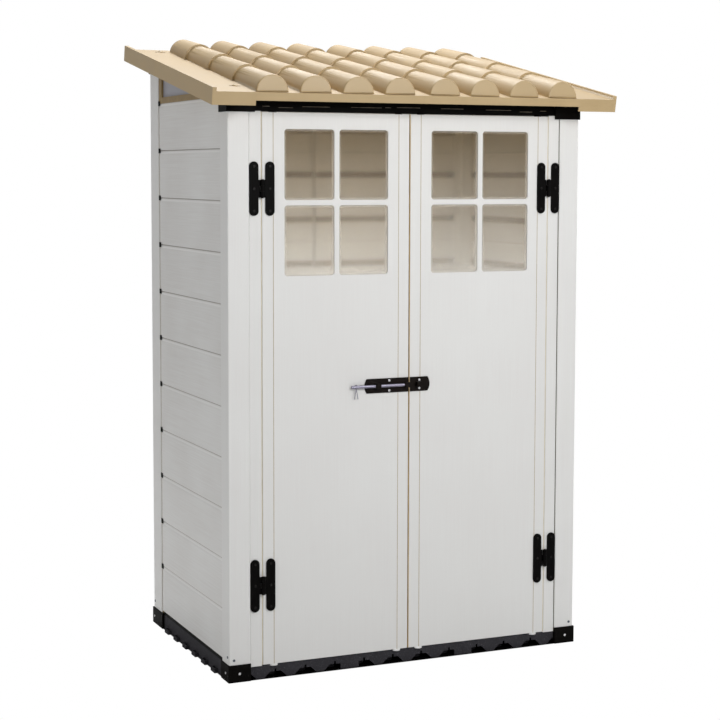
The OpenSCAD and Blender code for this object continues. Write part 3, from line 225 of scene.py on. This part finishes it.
def grained_resin(name, along, shade=RESIN_SHADE, depth=0.09, joints=None):
    """Off-white resin with long grain in the direction of along, pressed in by depth.

    Joints holds the height of the lowest plank's foot and the planks' pitch. Each joint then gets
    a thin line of painted shadow, with a line of painted highlight on the bevel under it.
    """
    made, tree, place = bare_material(name)
    scale = [1000 / GRAIN_WIDTH] * 3
    scale[along] = 1000 / GRAIN_LENGTH
    stretched = add(tree, "ShaderNodeMapping", {"Vector": place, "Scale": scale})
    grain = add(tree, "ShaderNodeTexNoise",
                {"Vector": stretched, "Scale": 1.0, "Detail": 3.0, "Roughness": 0.55})
    cloudy = add(tree, "ShaderNodeTexNoise",
                 {"Vector": place, "Scale": 1000 / CLOUD_SIZE, "Detail": 2.0})
    tone = add(tree, "ShaderNodeMath", {0: grain, 1: cloudy}, operation="ADD")
    tone = add(tree, "ShaderNodeMapRange", {"Value": tone, "From Min": 0.7, "From Max": 1.3})
    colour = add(tree, "ShaderNodeMix", {0: tone, 6: linear(shade), 7: linear(RESIN_WHITE)},
                 data_type="RGBA")
    # Painted joint shadows and painted bevel highlights.
    if joints:
        foot, pitch = joints
        parts = add(tree, "ShaderNodeSeparateXYZ", {0: place})
        above = add(tree, "ShaderNodeMath", {0: parts.outputs["Z"], 1: foot - pitch / 2},
                    operation="SUBTRACT")
        above = add(tree, "ShaderNodeMath", {0: above, 1: pitch, 2: 0.0}, operation="WRAP")
        for centre, width, code in ((pitch / 2, JOINT_SHADOW_WIDTH, PAINTED_JOINT_SHADOW),
                                    (pitch / 2 - BEVEL_HIGHLIGHT_BELOW, BEVEL_HIGHLIGHT_WIDTH, PAINTED_BEVEL_HIGHLIGHT)):
            off = add(tree, "ShaderNodeMath", {0: above, 1: centre}, operation="SUBTRACT")
            off = add(tree, "ShaderNodeMath", {0: off}, operation="ABSOLUTE")
            share = add(tree, "ShaderNodeMapRange",
                        {"Value": off, "From Min": width * 0.5, "From Max": width * 1.2,
                         "To Min": PAINTED_LINE_STRENGTH, "To Max": 0.0})
            colour = add(tree, "ShaderNodeMix",
                         {0: share, 6: colour.outputs[2], 7: linear(code)}, data_type="RGBA")
    fine = add(tree, "ShaderNodeTexNoise",
               {"Vector": place, "Scale": 1000 / SKIN_GRIT, "Detail": 1.0})
    relief = add(tree, "ShaderNodeMath", {0: fine, 1: GRIT_SHARE}, operation="MULTIPLY")
    relief = add(tree, "ShaderNodeMath", {0: relief, 1: grain}, operation="ADD")
    pressed = add(tree, "ShaderNodeBump", {"Strength": depth, "Distance": 0.0006, "Height": relief})
    gloss = add(tree, "ShaderNodeMapRange",
                {"Value": grain, "From Min": 0.3, "From Max": 0.7, "To Min": 0.40, "To Max": 0.52})
    skin = add(tree, "ShaderNodeBsdfPrincipled",
               {"Base Color": colour.outputs[2], "Roughness": gloss, "IOR": RESIN_IOR,
                "Normal": pressed})
    add(tree, "ShaderNodeOutputMaterial", {"Surface": skin})
    return made


def finish_form(name, form, body, material, stands_for=(), sharp=35):
    """Makes an object of a finished form, which rides on a body and may stand for CAD nodes."""
    mesh = bpy.data.meshes.new(name)
    form.to_mesh(mesh)
    form.free()
    mesh.materials.clear()
    mesh.materials.append(material)
    mesh.polygons.foreach_set("material_index", [0] * len(mesh.polygons))
    mesh.polygons.foreach_set("use_smooth", [True] * len(mesh.polygons))
    mesh.set_sharp_from_angle(angle=math.radians(sharp))
    made = bpy.data.objects.new(name, mesh)
    bpy.context.collection.objects.link(made)
    even = made.modifiers.new("even_shading", "WEIGHTED_NORMAL")
    even.keep_sharp = True
    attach(made, body)
    if stands_for:
        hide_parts(*stands_for)


def hard_edges(form, degrees, shortest=0.0):
    """The form's outward edges that turn by more than so many degrees and are long enough."""
    return [e for e in form.edges if len(e.link_faces) == 2 and e.is_convex
            and e.calc_face_angle(0) > math.radians(degrees) and e.calc_length() > shortest]


def round_edges(form, width, edges=None, segments=2):
    """Rounds edges of a form, by default all its hard outward ones."""
    if edges is None:
        edges = hard_edges(form, HARD_TURN)
    bmesh.ops.bevel(form, geom=edges, offset=width, offset_type="OFFSET", affect="EDGES",
                    segments=segments, profile=0.5, material=-1, clamp_overlap=True)


def block(form, low, high):
    """Adds a block between two corners."""
    size = Vector(high) - Vector(low)
    centre = (Vector(high) + Vector(low)) / 2
    bmesh.ops.create_cube(form, size=1,
                          matrix=Matrix.Translation(centre) @ Matrix.Diagonal((*size, 1)))


def upright_bar(name, node, body, width):
    """A bar of grained resin in a CAD node's place, with its upright edges rounded."""
    form = bmesh.new()
    block(form, *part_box(node))
    upright = [e for e in form.edges if abs((e.verts[0].co - e.verts[1].co).z) > SAME_PLACE]
    round_edges(form, width, upright, 3)
    finish_form(name, form, body, upright_resin, (node,))


upright_resin = grained_resin("embossed_resin_upright_grain", ALONG_Z)
for side in ("front_left", "front_right", "rear_left", "rear_right"):
    upright_bar("corner_post_" + side, "post_" + side, "shed_frame", POST_ROUND)
upright_bar("centre_post", "post_rear_centre", "shed_frame", POST_ROUND)

# Wall planks. Hollow boards of the same resin with their grain along them, a bevel along the top
# of each outer face and tongues between them. The solids have their shape, so they only get the
# skin, which also carries a painted shadow along each joint and a painted highlight on the bevel.
PLANK_FOOT = 0.061
PLANK_PITCH = 0.1585
SIDE_SHADE = "#dbd9d6"
SIDE_DEPTH = 0.2


def coat(node, material):
    """Puts a material on a CAD node."""
    mesh = nodes[node].data
    mesh.materials.clear()
    mesh.materials.append(material)


side_resin = grained_resin("embossed_resin_side_grain_painted_joint_shade", ALONG_Y, SIDE_SHADE, SIDE_DEPTH,
                           (PLANK_FOOT, PLANK_PITCH))
rear_resin = grained_resin("embossed_resin_rear_grain_painted_joint_shade", ALONG_X, joints=(PLANK_FOOT, PLANK_PITCH))
for node in ("left_wall_planks", "right_wall_planks"):
    coat(node, side_resin)
for node in ("rear_left_planks", "rear_right_planks"):
    coat(node, rear_resin)

# Tan strips. Extruded trim of matt tan resin fills the joints at the rear posts and runs along the
# top of the rear wall, and shows as plain lines without a highlight. The strip between the doors
# and the seals in the hinge gaps are paler copies of it: painted light against the shade in the
# gaps.


def plain_resin(name, light, shade, roughness, patch=45, grit=0.8, relief=0.12, shine=0.5):
    """Moulded resin with soft patches of tone and a fine grit, both with their size in mm.

    Real grit is finer and is drawn coarser to show. Shine is how strongly the skin mirrors.
    """
    made, tree, place = bare_material(name)
    cloudy = add(tree, "ShaderNodeTexNoise",
                 {"Vector": place, "Scale": 1000 / patch, "Detail": 3.0})
    tone = add(tree, "ShaderNodeMapRange", {"Value": cloudy, "From Min": 0.3, "From Max": 0.7})
    colour = add(tree, "ShaderNodeMix", {0: tone, 6: linear(shade), 7: linear(light)},
                 data_type="RGBA")
    fine = add(tree, "ShaderNodeTexNoise",
               {"Vector": place, "Scale": 1000 / grit, "Detail": 2.0})
    pressed = add(tree, "ShaderNodeBump", {"Strength": relief, "Distance": 0.0004, "Height": fine})
    gloss = add(tree, "ShaderNodeMapRange",
                {"Value": cloudy, "From Min": 0.3, "From Max": 0.7,
                 "To Min": roughness - 0.04, "To Max": roughness + 0.05})
    skin = add(tree, "ShaderNodeBsdfPrincipled",
               {"Base Color": colour.outputs[2], "Roughness": gloss, "IOR": RESIN_IOR,
                "Normal": pressed, "Specular IOR Level": shine})
    add(tree, "ShaderNodeOutputMaterial", {"Surface": skin})
    return made


tan_trim = plain_resin("matt_tan_trim", "#a18a62", "#8c7650", 0.6, 30)
for node in ("wall_end_strips", "rear_top_rail"):
    coat(node, tan_trim)
# Paler copies of the tan trim: painted light against the shade in the gaps.
coat("meeting_strip", plain_resin("matt_tan_strip_painted_light", "#c4a878", "#b59a6a", 0.6, 30))
coat("jamb_seals", plain_resin("matt_tan_seal_painted_light", "#e0d6c0", "#d2c6ab", 0.6, 30))

# Inner strips. Matt brown resin strips along the middle of each plank's inner face and over the
# middle post: painted shade, standing in for the dark bands of shade that show through the panes.
SHADE_BAND_HEIGHT = 0.021
SHADE_BAND_PROUD = 0.0012
SHADE_BAND_ROUND = 0.0004
CLIP_SIZE = 0.022
ROOT = 0.0004
END_GAP = 0.012
PLANK_ROWS = 11
STRIP_LEVELS = [PLANK_FOOT + PLANK_PITCH * (row + 0.5) for row in range(PLANK_ROWS)]


def inner_runs():
    """The strips' runs: axis along the wall, start, end, inner face, way inward, with a clip."""
    left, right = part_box("rear_left_planks"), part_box("rear_right_planks")
    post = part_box("post_rear_centre")
    runs = [(0, left[0].x + END_GAP, left[1].x - END_GAP, left[0].y, -1, True),
            (0, post[0].x, post[1].x, post[0].y, -1, False),
            (0, right[1].x - END_GAP, right[0].x + END_GAP, right[0].y, -1, True)]
    for node, way in (("left_wall_planks", 1), ("right_wall_planks", -1)):
        low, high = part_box(node)
        face = high.x if way > 0 else low.x
        runs.append((1, high.y - END_GAP, low.y + END_GAP, face, way, True))
    return runs


def clip_end(start, end):
    """Where the clip at the start of a run ends."""
    return start + math.copysign(CLIP_SIZE, end - start)


def wall_block(form, run, start, end, z, height, proud):
    """Adds a block on an inner face, from start to end along the wall."""
    axis, _, _, face, way, _ = run
    low, high = Vector((0, 0, z - height / 2)), Vector((0, 0, z + height / 2))
    low[axis], high[axis] = sorted((start, end))
    low[1 - axis], high[1 - axis] = sorted((face - way * ROOT, face + way * proud))
    block(form, low, high)


form = bmesh.new()
for run in inner_runs():
    _, start, end, _, _, clipped = run
    if clipped:
        start = clip_end(start, end)
    for z in STRIP_LEVELS:
        wall_block(form, run, start, end, z, SHADE_BAND_HEIGHT, SHADE_BAND_PROUD)
# Painted shade: the brown stands in for the bands of shade seen through the panes.
brown = plain_resin("matt_brown_painted_shade_band", "#6b4d1e", "#523a14", 0.9, patch=12, grit=1.5, relief=0.4,
                    shine=0.1)
round_edges(form, SHADE_BAND_ROUND, segments=1)
finish_form("inner_shade_bands", form, "shed_frame", brown)

# Shade line. A thin matt strip of dark olive on the joint of the right post and its jamb: painted
# shade, standing in for the shadow in that joint. It shows as a thin dark line.
SHADE_LINE_WIDTH = 0.0016
SHADE_LINE_PROUD = 0.0012
SHADE_LINE_DEEP = 0.0008
SHADE_LINE_ROUND = 0.0003
# Dark olive painted shade for the shadow in the joint.
olive = plain_resin("dark_olive_painted_shade", "#4a4128", "#3a331f", 0.7, 20, shine=0.2)
low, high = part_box("jamb_right")
form = bmesh.new()
block(form, (high.x - SHADE_LINE_WIDTH, low.y - SHADE_LINE_PROUD, low.z),
      (high.x, low.y + SHADE_LINE_DEEP, high.z))
round_edges(form, SHADE_LINE_ROUND, segments=1)
finish_form("right_jamb_painted_shade_line", form, "shed_frame", olive)

# Black joints. The corner joints, the sills under the planks, the clips over the plank joints and
# the lintel are moulded in black resin, which has a soft sheen. The corner joints hold the posts
# and have rounded edges.
JOINT_ROUND = 0.0015
FLAT = math.radians(0.5)
SOLID_TURN = 50
SHORTEST_IN_WIDTHS = 2.2
black_resin = plain_resin("satin_black_resin", "#0e0d0b", "#090807", 0.5, 60, shine=0.04)


def solid_of(node, keep=None):
    """A form of a CAD node, or of those of its solids whose points pass keep, with whole faces."""
    form = bmesh.new()
    form.from_mesh(nodes[node].data)
    bmesh.ops.remove_doubles(form, verts=form.verts, dist=SAME_PLACE)
    if keep:
        left_out = [v for v in form.verts if not keep(v.co)]
        bmesh.ops.delete(form, geom=left_out, context="VERTS")
    bmesh.ops.dissolve_limit(form, angle_limit=FLAT, verts=form.verts, edges=form.edges)
    return form


def softened(name, node, body, material, width, shortest=None):
    """A copy of a CAD node's solid with rounded edges, which stands for it.

    Edges up to the shortest length stay sharp, by default those too short for the width.
    """
    form = solid_of(node)
    shortest = SHORTEST_IN_WIDTHS * width if shortest is None else shortest
    round_edges(form, width, hard_edges(form, SOLID_TURN, shortest))
    finish_form(name, form, body, material, (node,))


for corner in ("front_left", "front_right", "rear_left", "rear_right"):
    for level in ("bottom", "top"):
        softened("%s_joint_%s" % (level, corner), "%s_corner_%s" % (level, corner), "shed_frame",
                 black_resin, JOINT_ROUND)
for node in ("wall_sills", "plank_joint_clips", "front_lintel"):
    coat(node, black_resin)

# Inner clips. Square clips of the same black resin, which hold the strips' ends at the rear
# posts. They show through the panes as soft dark spots.
CLIP_PROUD = 0.006
CLIP_ROUND = 0.0008
form = bmesh.new()
for run in inner_runs():
    _, start, end, _, _, clipped = run
    if clipped:
        for z in STRIP_LEVELS:
            wall_block(form, run, start, clip_end(start, end), z, CLIP_SIZE, CLIP_PROUD)
round_edges(form, CLIP_ROUND)
finish_form("inner_clips", form, "shed_frame", black_resin)

# Lintel lips. Thin lips of the slots in the lintel's front, moulded with it. Their grey is painted
# light, standing in for the light that shows in the slots. Each span has its left end, its right
# end and its height.
LIP_HEIGHT = 0.0016
LIP_PROUD = 0.0006
LIP_ROUND = 0.0003
LIP_SPANS = ((-0.493, -0.470, 1.775), (-0.441, -0.394, 1.7715), (-0.363, -0.271, 1.7755),
             (-0.200, -0.096, 1.776), (-0.084, -0.064, 1.777), (-0.044, 0.037, 1.778),
             (0.110, 0.190, 1.777), (0.270, 0.363, 1.7755), (0.394, 0.441, 1.7715),
             (0.470, 0.493, 1.775))
# Pale grey painted light along the slots.
painted_light_lip_resin = plain_resin("lintel_lip_painted_light", "#8f877a", "#5c564c", 0.6, 25, shine=0.2)
face_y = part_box("front_lintel")[0].y
form = bmesh.new()
for left, right, z in LIP_SPANS:
    block(form, (left, face_y - LIP_PROUD, z - LIP_HEIGHT / 2),
          (right, face_y + ROOT, z + LIP_HEIGHT / 2))
round_edges(form, LIP_ROUND, segments=1)
finish_form("lintel_lips", form, "shed_frame", painted_light_lip_resin)

# Floor tiles. Six tiles of coarse dark grey resin, moulded with arched skirts, which lie edge to
# edge on their pegs. Pale specks in the resin and a rough grit give them a dull, dotted skin.
TILE_GREY = "#3a393d"
TILE_DARK = "#2e2d31"
TILE_SPECK = "#55545a"
TILE_CLOUD = 50
SPECK_SIZE = 2.6
tile_resin, tree, place = bare_material("speckled_grey_resin")
cloudy = add(tree, "ShaderNodeTexNoise",
             {"Vector": place, "Scale": 1000 / TILE_CLOUD, "Detail": 4.0})
colour = add(tree, "ShaderNodeMix", {0: cloudy, 6: linear(TILE_DARK), 7: linear(TILE_GREY)},
             data_type="RGBA")
dots = add(tree, "ShaderNodeTexNoise",
           {"Vector": place, "Scale": 1000 / SPECK_SIZE, "Detail": 1.0})
pale = add(tree, "ShaderNodeMapRange", {"Value": dots, "From Min": 0.62, "From Max": 0.74})
colour = add(tree, "ShaderNodeMix", {0: pale, 6: colour.outputs[2], 7: linear(TILE_SPECK)},
             data_type="RGBA")
rough = add(tree, "ShaderNodeBump", {"Strength": 0.35, "Distance": 0.0005, "Height": dots})
skin = add(tree, "ShaderNodeBsdfPrincipled",
           {"Base Color": colour.outputs[2], "Roughness": 0.7, "Specular IOR Level": 0.15,
            "Normal": rough})
add(tree, "ShaderNodeOutputMaterial", {"Surface": skin})
for row in ("front", "rear"):
    for column in ("left", "middle", "right"):
        coat("floor_tile_%s_%s" % (row, column), tile_resin)

# Roof. Two deep moulded trays in tan resin, each with four columns of half-round tiles. The edges
# are rounded by the mould and the skin has a soft sheen that picks up the sky at a low angle.
ROOF_ROUND = 0.002
RIM_ROUND = 0.0045
ROOF_SLOPE = math.radians(11)
ROOF_SHARP = 50
END_FACING = 0.99
TILE_END_AREA = 0.0035
roof_resin = plain_resin("satin_tan_roof_resin", "#b89f74", "#b1986d", 0.5, patch=120, grit=1.2,
                         relief=0.08, shine=0.8)


def round_rim(form, face, width):
    """Rounds the edges of a tile column's end face in two steps of 45 degrees."""
    back = Vector((0, math.cos(ROOF_SLOPE), math.sin(ROOF_SLOPE)))
    if face.normal.y > 0:
        back.negate()
    step = width * (1 - math.sqrt(0.5))
    outer = face.verts[:]
    bmesh.ops.inset_individual(form, faces=[face], thickness=step, use_even_offset=True)
    middle = face.verts[:]
    bmesh.ops.inset_individual(form, faces=[face], thickness=width - step, use_even_offset=True)
    for ring, way in ((outer, width), (middle, step)):
        for vert in ring:
            vert.co += back * way


for half in ("left", "right"):
    node = "roof_panel_" + half
    form = solid_of(node)
    for face in [f for f in form.faces
                 if abs(f.normal.y) > END_FACING and f.calc_area() > TILE_END_AREA]:
        round_rim(form, face, RIM_ROUND)
    form.normal_update()
    round_edges(form, ROOF_ROUND,
                hard_edges(form, SOLID_TURN, SHORTEST_IN_WIDTHS * ROOF_ROUND))
    finish_form("roof_half_" + half, form, "shed_frame", roof_resin, (node,),
                ROOF_SHARP)

# Roof screws. Steel screws through the slots hold the roof to the corners, the lintel and the rear
# rail. Domed caps of glossy resin in the roof's colour close them and show small highlights.
ROOF_CAP_ROUND = 0.0006
ROOF_CAP_SHORTEST = 0.0004
cap_tan = plain_resin("glossy_tan_cap_resin", "#b9a074", "#b0966a", 0.2, 20)
softened("roof_screw_caps", "roof_screws", "shed_frame", cap_tan, ROOF_CAP_ROUND,
         ROOF_CAP_SHORTEST)

# Gables. A tan frame round a sheet of pale grey satin resin stands on each side wall and fills the
# slope under the roof. The beam under the roof's joint is white like the walls.
coat("gable_frames", tan_trim)
coat("gable_panels", plain_resin("satin_pale_grey_sheet", "#a9a9b1", "#9d9da6", 0.45, 90))
coat("roof_joint_beam", upright_resin)

# Jambs and doors. The face panels, stiles and jambs are the same grained resin as the posts. The
# jambs are screwed to the posts, and the stiles stand on both sides of each face panel.
JAMB_ROUND = 0.003
DOOR_ROUND = 0.0012
DOOR_SHORTEST = 0.003
for node in ("jamb_left", "jamb_right"):
    upright_bar(node + "_bar", node, "shed_frame", JAMB_ROUND)
for side in ("left", "right"):
    body = side + "_door"
    for part in ("hinge_stile", "lock_stile"):
        node = "%s_door_%s" % (side, part)
        upright_bar(node + "_bar", node, body, DOOR_ROUND)
    softened(side + "_door_face", side + "_door_panel", body, upright_resin,
             DOOR_ROUND, DOOR_SHORTEST)

# Seams. Thin beads of matt tan resin, pressed into the joints between the stiles and the face
# panels. They stand a hair proud and show as fine lines.
BEAD_WIDTH = 0.0016
BEAD_PROUD = 0.0001
BEAD_DEEP = 0.003
BEAD_ROUND = 0.00005
FACE_GAP = 0.00015
bead_resin = plain_resin("matt_tan_bead", "#b09a70", "#97825a", 0.6, 20)
for side in ("left", "right"):
    form = bmesh.new()
    low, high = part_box(side + "_door_panel")
    for x in (low.x - FACE_GAP, high.x + FACE_GAP):
        block(form, (x - BEAD_WIDTH / 2, low.y - BEAD_PROUD, low.z),
              (x + BEAD_WIDTH / 2, low.y + BEAD_DEEP, high.z))
    round_edges(form, BEAD_ROUND, segments=1)
    finish_form(side + "_door_seam_beads", form, side + "_door", bead_resin)

# Panes. Sheets of frosted polycarbonate held behind the face panels. They blur and warm what is
# behind them, and the frost is denser along the edges, where it catches the light. Lower down they
# are whiter and less clear: painted light for the light that falls on the lower rear wall.
PANE_LOW = 1.256
PANE_HIGH = 1.707
PANE_LEFT = 0.0753
PANE_STEP_X = 0.18245
PANE_STEP_Z = 0.2335
BAR_HALF = 0.008
RIM_START = 0.001
RIM_END = 0.010
RIM_RAGGED = 0.004
RIM_STRENGTH = 0.6
PANE_TINT = "#bbaa8d"
FROST_WHITE = "#f8f3ea"
RIM_WHITE = "#f2ede4"
THROUGH_TOP = 0.90
THROUGH_FOOT = 0.73
THROUGH_RIM = 0.55
# Polycarbonate has an IOR of 1.58. A lower one keeps the blur as weak as it is in the photo.
PANE_IOR = 1.15
# Sizes of the frost in mm. The real specks are finer and are drawn coarser to show.
FROST_CLOUD = 111.1
FROST_SPECK = 2.381


def from_bar(tree, offset, start, step):
    """The distance along one axis from the middle of the nearest bar between the panes."""
    offset = add(tree, "ShaderNodeMath", {0: offset, 1: start - BAR_HALF}, operation="SUBTRACT")
    return add(tree, "ShaderNodeMath", {0: offset, 1: step / 2}, operation="PINGPONG")


frosted, tree, place = bare_material("frosted_polycarbonate")
parts = add(tree, "ShaderNodeSeparateXYZ", {0: place})
# Painted light: the panes grow whiter and less clear towards the foot.
painted_light_lowness = add(tree, "ShaderNodeMapRange",
              {"Value": parts.outputs["Z"], "From Min": PANE_LOW, "From Max": PANE_HIGH,
               "To Min": 1.0, "To Max": 0.0})
cloudy = add(tree, "ShaderNodeTexNoise",
             {"Vector": place, "Scale": 1000 / FROST_CLOUD, "Detail": 2.0})
cloudy = add(tree, "ShaderNodeMapRange", {"Value": cloudy, "To Min": -0.08, "To Max": 0.08})
speck = add(tree, "ShaderNodeTexNoise",
            {"Vector": place, "Scale": 1000 / FROST_SPECK, "Detail": 2.0})
uneven = add(tree, "ShaderNodeMapRange", {"Value": speck, "To Min": -0.10, "To Max": 0.10})
frost_and_painted_light = add(tree, "ShaderNodeMath", {0: painted_light_lowness, 1: cloudy}, operation="ADD")
frost_and_painted_light = add(tree, "ShaderNodeMath", {0: frost_and_painted_light, 1: uneven}, operation="ADD")
sideways = add(tree, "ShaderNodeMath", {0: parts.outputs["X"]}, operation="ABSOLUTE")
across = from_bar(tree, sideways, PANE_LEFT, PANE_STEP_X)
upward = from_bar(tree, parts.outputs["Z"], PANE_LOW, PANE_STEP_Z)
nearest = add(tree, "ShaderNodeMath", {0: across, 1: upward}, operation="MINIMUM")
ragged = add(tree, "ShaderNodeMapRange",
             {"Value": speck, "To Min": -RIM_RAGGED, "To Max": RIM_RAGGED})
nearest = add(tree, "ShaderNodeMath", {0: nearest, 1: ragged}, operation="ADD")
rim = add(tree, "ShaderNodeMapRange",
          {"Value": nearest, "From Min": BAR_HALF + RIM_START, "From Max": BAR_HALF + RIM_END,
           "To Min": RIM_STRENGTH, "To Max": 0.0})
open_share = add(tree, "ShaderNodeMapRange",
                 {"Value": frost_and_painted_light, "To Min": THROUGH_TOP, "To Max": THROUGH_FOOT})
rim_share = add(tree, "ShaderNodeMapRange", {"Value": rim, "To Min": 1.0, "To Max": THROUGH_RIM})
through = add(tree, "ShaderNodeMath", {0: open_share, 1: rim_share}, operation="MULTIPLY")
colour = add(tree, "ShaderNodeMix", {0: frost_and_painted_light, 6: linear(PANE_TINT), 7: linear(FROST_WHITE)},
             data_type="RGBA")
colour = add(tree, "ShaderNodeMix", {0: rim, 6: colour.outputs[2], 7: linear(RIM_WHITE)},
             data_type="RGBA")
pressed = add(tree, "ShaderNodeBump", {"Strength": 0.15, "Distance": 0.0003, "Height": speck})
skin = add(tree, "ShaderNodeBsdfPrincipled",
           {"Base Color": colour.outputs[2], "Roughness": 0.17, "IOR": PANE_IOR,
            "Transmission Weight": through, "Normal": pressed})
add(tree, "ShaderNodeOutputMaterial", {"Surface": skin})
for side in ("left", "right"):
    coat(side + "_door_panes", frosted)

# Door caps. Small rounded caps of glossy resin, pushed over and under the joints of stile and
# panel. The lower ones are white and show small highlights. The upper ones, under the lintel, are
# given black resin: painted shade for the shadow they sit in.
MID_HEIGHT = 0.9
CAP_ROUND = 0.001
cap_resin = plain_resin("glossy_white_resin", "#efefee", "#e6e6e4", 0.25, 30)


def part_of(name, node, body, material, keep, width):
    """A rounded copy of those solids of a CAD node whose points pass keep."""
    form = solid_of(node, keep)
    round_edges(form, width)
    finish_form(name, form, body, material, (node,))


for side in ("left", "right"):
    node, body = side + "_door_caps", side + "_door"
    part_of(side + "_door_lower_caps", node, body, cap_resin,
            lambda point: point.z < MID_HEIGHT, CAP_ROUND)
    # The upper caps are black as painted shade.
    part_of(side + "_door_upper_caps_painted_shade", node, body, black_resin,
            lambda point: point.z > MID_HEIGHT, CAP_ROUND)

# Hinges. Stamped steel leaves with rolled knuckles, powder-coated black with a dull, slightly
# pebbled skin. One leaf is screwed to the jamb and one to the door with black screws, and a headed
# pin joins them.
LEAF_ROUND = 0.0008
SCREW_ROUND = 0.0005
PIN_ROUND = 0.0006
SMALL_SHORTEST = 0.0003
black_coat = plain_resin("black_powder_coat", "#0b0a09", "#070606", 0.45, patch=40, grit=0.6,
                         relief=0.2, shine=0.04)
screw_coat = plain_resin("worn_black_screw", "#1b1918", "#131110", 0.35, patch=6, grit=0.6,
                         relief=0.1, shine=0.15)
for side in ("left", "right"):
    softened(side + "_door_leaves", side + "_door_hinge_leaves", side + "_door",
             black_coat, LEAF_ROUND)
softened("jamb_leaves", "jamb_hinge_leaves", "shed_frame", black_coat,
         LEAF_ROUND)
softened("jamb_leaf_screws", "jamb_hinge_screws", "shed_frame", screw_coat,
         SCREW_ROUND, SMALL_SHORTEST)
softened("hinge_pin_rods", "hinge_pins", "shed_frame", black_coat, PIN_ROUND,
         SMALL_SHORTEST)

# Latch. A base plate with two bridges on the left door and one with a single bridge on the right,
# screwed on and powder-coated brownish black. The rod, its split pin and the screws are
# zinc-plated steel, whose grey sheen has a fine mottle.
LATCH_LOW = 0.85
LATCH_HIGH = 0.95
PLATE_ROUND = 0.0006
ROD_ROUND = 0.0006
SPLIT_PIN_ROUND = 0.0003
SPLIT_PIN_SHORTEST = 0.0002
# Size of the mottle in mm. The real one is finer and is drawn coarser to show.
ZINC_MOTTLE = 3.333
latch_coat = plain_resin("brown_black_powder_coat", "#1b1512", "#130f0d", 0.45, patch=40,
                         grit=0.6, relief=0.2, shine=0.08)


def plated_steel(name, tint, shade, roughness):
    """Zinc-plated steel with a fine mottle."""
    made, tree, place = bare_material(name)
    mottle = add(tree, "ShaderNodeTexNoise",
                 {"Vector": place, "Scale": 1000 / ZINC_MOTTLE, "Detail": 3.0})
    colour = add(tree, "ShaderNodeMix", {0: mottle, 6: linear(shade), 7: linear(tint)},
                 data_type="RGBA")
    gloss = add(tree, "ShaderNodeMapRange",
                {"Value": mottle, "To Min": roughness - 0.06, "To Max": roughness + 0.08})
    skin = add(tree, "ShaderNodeBsdfPrincipled",
               {"Base Color": colour.outputs[2], "Metallic": 1.0, "Roughness": gloss})
    add(tree, "ShaderNodeOutputMaterial", {"Surface": skin})
    return made


zinc = plated_steel("zinc_plated_steel", "#9a97a8", "#7f7c8a", 0.38)
bright_zinc = plated_steel("bright_zinc_screw_steel", "#f4f4f4", "#dcdcde", 0.25)
softened("latch_base", "latch_plate", "left_door", latch_coat, PLATE_ROUND)
softened("keeper_base", "keeper_plate", "right_door", latch_coat,
         PLATE_ROUND)
for side in ("left", "right"):
    node, body = side + "_door_screws", side + "_door"
    part_of(side + "_latch_screws", node, body, bright_zinc,
            lambda point: LATCH_LOW < point.z < LATCH_HIGH, SCREW_ROUND)
    part_of(side + "_hinge_screws", node, body, screw_coat,
            lambda point: not LATCH_LOW < point.z < LATCH_HIGH, SCREW_ROUND)
softened("latch_bolt", "latch_rod", "bolt", zinc, ROD_ROUND, SMALL_SHORTEST)
softened("latch_hairpin", "latch_split_pin", "bolt", zinc, SPLIT_PIN_ROUND,
         SPLIT_PIN_SHORTEST)

# Frame screws. Zinc-plated screws hold the bottom corner joints to the floor, where they are
# bright, and, just above the joints, the posts to the joints' spigots, where they are duller.
JOINT_TOP = 0.057
FRAME_SCREW_ROUND = 0.0004
dark_zinc = plated_steel("dark_zinc_screw_steel", "#6f7780", "#4d545c", 0.35)
part_of("corner_screws", "frame_screws", "shed_frame", bright_zinc,
        lambda point: point.z < JOINT_TOP, FRAME_SCREW_ROUND)
part_of("post_foot_screws", "frame_screws", "shed_frame", dark_zinc,
        lambda point: point.z > JOINT_TOP, FRAME_SCREW_ROUND)

low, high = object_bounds()
